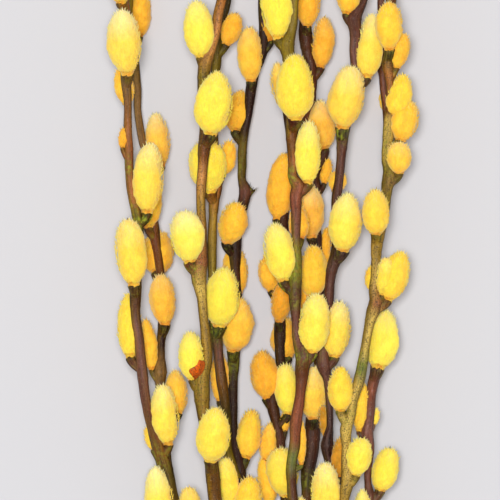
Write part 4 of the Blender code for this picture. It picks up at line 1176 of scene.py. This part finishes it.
def fur_material():
    """Warmth plus mottling through a five-colour ramp, a ring at the foot and a pale tip; hair relief."""
    material, tree, shader = new_material("catkin_fur")
    place = kept(tree, "fur_place", "Vector")
    share = kept(tree, "foot_to_tip")
    mottle = placed(tree, STREAKS, Place=place, Per_mm=0.33, Squeeze=(1.0, 0.7, 1.0))
    hairs = placed(tree, STREAKS, Place=place, Per_mm=2.4, Squeeze=(1.0, 0.16, 1.0))
    grains = placed(tree, SPECKS, Place=place, Per_mm=1.1, Threshold=0.5, Softness=0.2)
    swing = plus(tree, times(tree, mottle, 0.22), times(tree, grains, 0.10))
    heat = plus(tree, kept(tree, "warmth"), maths(tree, "SUBTRACT", swing, 0.16))
    tip_share = times(tree, kept(tree, "paleness"), plus(tree, between(tree, share, 0.55, 1.0), 0.12))
    colour = mixed(tree, tip_share, heat_ramp(tree, heat), opaque(253, 240, 176))
    ring = between(tree, plus(tree, share, times(tree, hairs, 0.035)), 0.10, 0.04)
    ring_share = times(tree, ring, plus(tree, times(tree, mottle, 0.45), 0.40))
    colour = mixed(tree, ring_share, colour, opaque(196, 110, 26))
    colour = mixed(tree, times(tree, hairs, 0.30), colour, (0.90, 0.72, 0.38, 1.0), "MULTIPLY")
    rough = plus(tree, times(tree, hairs, 0.2), 0.66)
    raise_relief(tree, shader, plus(tree, times(tree, hairs, 0.5), grains), 0.35, 0.0003)
    fill(tree, shader, {"Base Color": colour, "Roughness": rough, "Specular IOR Level": 0.2,
                        "Subsurface Weight": 0.35, "Subsurface Radius": (1.0, 0.55, 0.12),
                        "Subsurface Scale": 0.002, "Sheen Weight": 0.45, "Sheen Roughness": 0.45,
                        "Sheen Tint": (1.0, 0.96, 0.62, 1.0)})
    return material


FUR = fur_material()
print("fur material:", FUR.name)

# %% [markdown]
# ## Growing the shoots
# Each leafless shoot is two pieces, one of wood and one of fur, because bark and fur need different
# materials. Both stand for the shoot's plain solid. A loop over the tables grows them: the rod with the
# last catkin at its tip, then a cup and a catkin with its hairs for each entry. A number that goes up by
# one each time is every part's seed.

# %% Grow wood and fur
LAST_WARMTH, LAST_PALENESS = 0.5, 0.2
SCALED_CATKIN = LEFT_INNER["catkins"][3]
SCALE_TURN = 1.15
STUB_WIDTH, STUB_HEIGHT, STUB_LENGTH = 9, 6, 9
MOSS = {"main_stem": (LEADER, 106, 128, 150, np.pi - 0.5, 901),
        "middle_fork": (MIDDLE_FRONT, 78, 86, 50, 1.2, 902)}


def grow_catkin(*look):
    """The egg, its collar and its two kinds of hair."""
    return [catkin_skin(*look), collar_skin(*look), hair_skin(*look, FINE_HAIRS), hair_skin(*look, LICKS)]


def grow_stub(rod, spur_x, spur_y, seed):
    """The empty spur's cup, which leans away from the rod, and its bristles."""
    rod_x = rod_at(rod, spur_y)[0][0][0]
    tip_x, tip_y = 2 * spur_x - rod_x + 1, spur_y + STUB_HEIGHT
    stub = (spur_x, spur_y, tip_x, tip_y, STUB_WIDTH, SIDE, 0, 0, STUB_LENGTH)
    foot, tip = catkin_ends(rod, stub)
    way = unit(tip - foot)
    return [cup_skin(rod, stub, seed), bristle_skin(foot + way * 0.4, way, CUP_SHARE * STUB_WIDTH)]


seed = 0
for shoot, rods in SHOOTS.items():
    wood, fur = [], []
    for rod in rods:
        seed += 1
        wood.append(rod_skin(rod, seed))
        fur += grow_catkin(*last_catkin(rod), LAST_WARMTH, LAST_PALENESS, seed)
        for catkin in rod["catkins"]:
            seed += 1
            wood.append(cup_skin(rod, catkin, seed))
            fur += grow_catkin(*catkin_ends(rod, catkin), catkin[4], catkin[6], catkin[7], seed)
        for spur in rod.get("empty_spurs", []):
            wood += grow_stub(rod, *spur, seed + 100)
    if shoot == "left_rod":
        wood.append(scale_skin(*catkin_ends(LEFT_INNER, SCALED_CATKIN), SCALED_CATKIN[4], SCALE_TURN, 900))
    if shoot in MOSS:
        wood.append(moss_skin(*MOSS[shoot]))
    make_piece(f"{shoot}_wood", wood, BARKS[shoot], shoot)
    make_piece(f"{shoot}_catkins", fur, FUR, shoot)

# %% [markdown]
# ## The cut end
# The old stem was cut with secateurs. The cut shows cream sapwood with a few fine year rings, a brown
# pith in the middle, and a fine grain. It is a disc of rings, slightly hollow, whose pattern comes from
# each point's own distance from the middle.

# %% Cut end
CUT_ROWS, CUT_SIDES = 22, 48
CUT_RIM, CUT_MIDDLE = 0.45, 0.20


def cut_end_skin():
    """Rings that shrink from 0.95 of the stem's radius to its middle, backed by two inside the stem."""
    foot_y = LEADER["route"][-1][1]
    (centre, ahead), radius = rod_at(LEADER, [foot_y, foot_y + 2])
    way = unit(centre - ahead)
    share = np.concatenate([[0.3, 0.93], np.linspace(0.95, 0.03, CUT_ROWS - 2)])[:, None]
    turn = full_turn(CUT_SIDES)[None]
    flat = around(turn, *across_and_upward(way))
    proud = np.concatenate([[-1.0, -1.0], np.linspace(CUT_RIM, CUT_MIDDLE, CUT_ROWS - 2)])[:, None]
    rough = 0.06 * ripple(flat * share[..., None] * 7.0, 1.5, 77)
    points = centre + (radius[0] * share)[..., None] * flat + (proud + rough)[..., None] * way
    place = share[..., None] * around(turn, np.array([1, 0, 0]), np.array([0, 1, 0])) * radius[0]
    return skin(points, {"from_middle": np.broadcast_to(share, rough.shape), "cut_place": place})


def cut_wood_material():
    """Cream wood; rings are the sine of the distance from the middle, bent by noise; grain by specks."""
    material, tree, shader = new_material("cut_wood")
    place = kept(tree, "cut_place", "Vector")
    share = kept(tree, "from_middle")
    bend = placed(tree, STREAKS, Place=place, Per_mm=0.4, Squeeze=(1.0, 1.0, 1.0))
    grain = placed(tree, SPECKS, Place=place, Per_mm=3.0, Threshold=0.5, Softness=0.2)
    phase = plus(tree, times(tree, share, 44.0), times(tree, bend, 1.6))
    rings = times(tree, plus(tree, maths(tree, "SINE", phase, 0.0), 1.0), 0.5)
    colour = mixed(tree, times(tree, rings, 0.5), opaque(222, 196, 140), opaque(178, 138, 84))
    colour = mixed(tree, times(tree, grain, 0.3), colour, opaque(150, 112, 66))
    colour = mixed(tree, between(tree, share, 0.15, 0.08), colour, opaque(104, 66, 36))
    raise_relief(tree, shader, plus(tree, times(tree, rings, 0.5), grain), 0.5, 0.0002)
    fill(tree, shader, {"Base Color": colour, "Roughness": plus(tree, times(tree, rings, 0.15), 0.6)})
    return material


make_piece("cut_end", [cut_end_skin()], cut_wood_material(), "main_stem")

# %% [markdown]
# ## Table and light
# The branch lies on a plain pale table. A soft light hangs almost straight above, a little to the upper
# left, so that each shadow hides under the rod that casts it. An even white surrounding keeps the far
# sides open. The standard view keeps lemon yellow as clear as it is, where a film-like view would wash
# it out.

# %% Table, lights and surroundings
HALF_TABLE = 4.0
LAMP_PLACE, LAMP_SIZE, LAMP_POWER = (-0.16, 0.2, 6.0), 0.8, 338.0
SURROUNDING_STRENGTH = 0.46
table_mesh = bpy.data.meshes.new("table_top")
corners = [(x * HALF_TABLE, y * HALF_TABLE, 0) for x, y in ((-1, -1), (1, -1), (1, 1), (-1, 1))]
table_mesh.from_pydata(corners, [], [(0, 1, 2, 3)])
table = bpy.data.objects.new("table_top", table_mesh)
bpy.context.scene.collection.objects.link(table)
table_material, table_tree, table_shader = new_material("table_paint")
fill(table_tree, table_shader, {"Base Color": opaque(194.5, 193.5, 196.5), "Roughness": 0.9})
table_mesh.materials.append(table_material)

lamp_data = bpy.data.lights.new("overhead_light", "AREA")
lamp_data.size, lamp_data.energy = LAMP_SIZE, LAMP_POWER
lamp = bpy.data.objects.new("overhead_light", lamp_data)
lamp.location = LAMP_PLACE
to_lamp = lamp.location - Vector((middle[0], middle[1], 0.0))
lamp.rotation_euler = to_lamp.to_track_quat("Z", "Y").to_euler()
bpy.context.scene.collection.objects.link(lamp)

world = bpy.data.worlds.new("studio")
world.use_nodes = True
fill(world.node_tree, world.node_tree.nodes["Background"],
     {"Color": (1.0, 1.0, 1.0, 1.0), "Strength": SURROUNDING_STRENGTH})
bpy.context.scene.world = world
bpy.context.scene.view_settings.view_transform = "Standard"
print("lamp at", LAMP_PLACE, "with", LAMP_POWER, "watts")
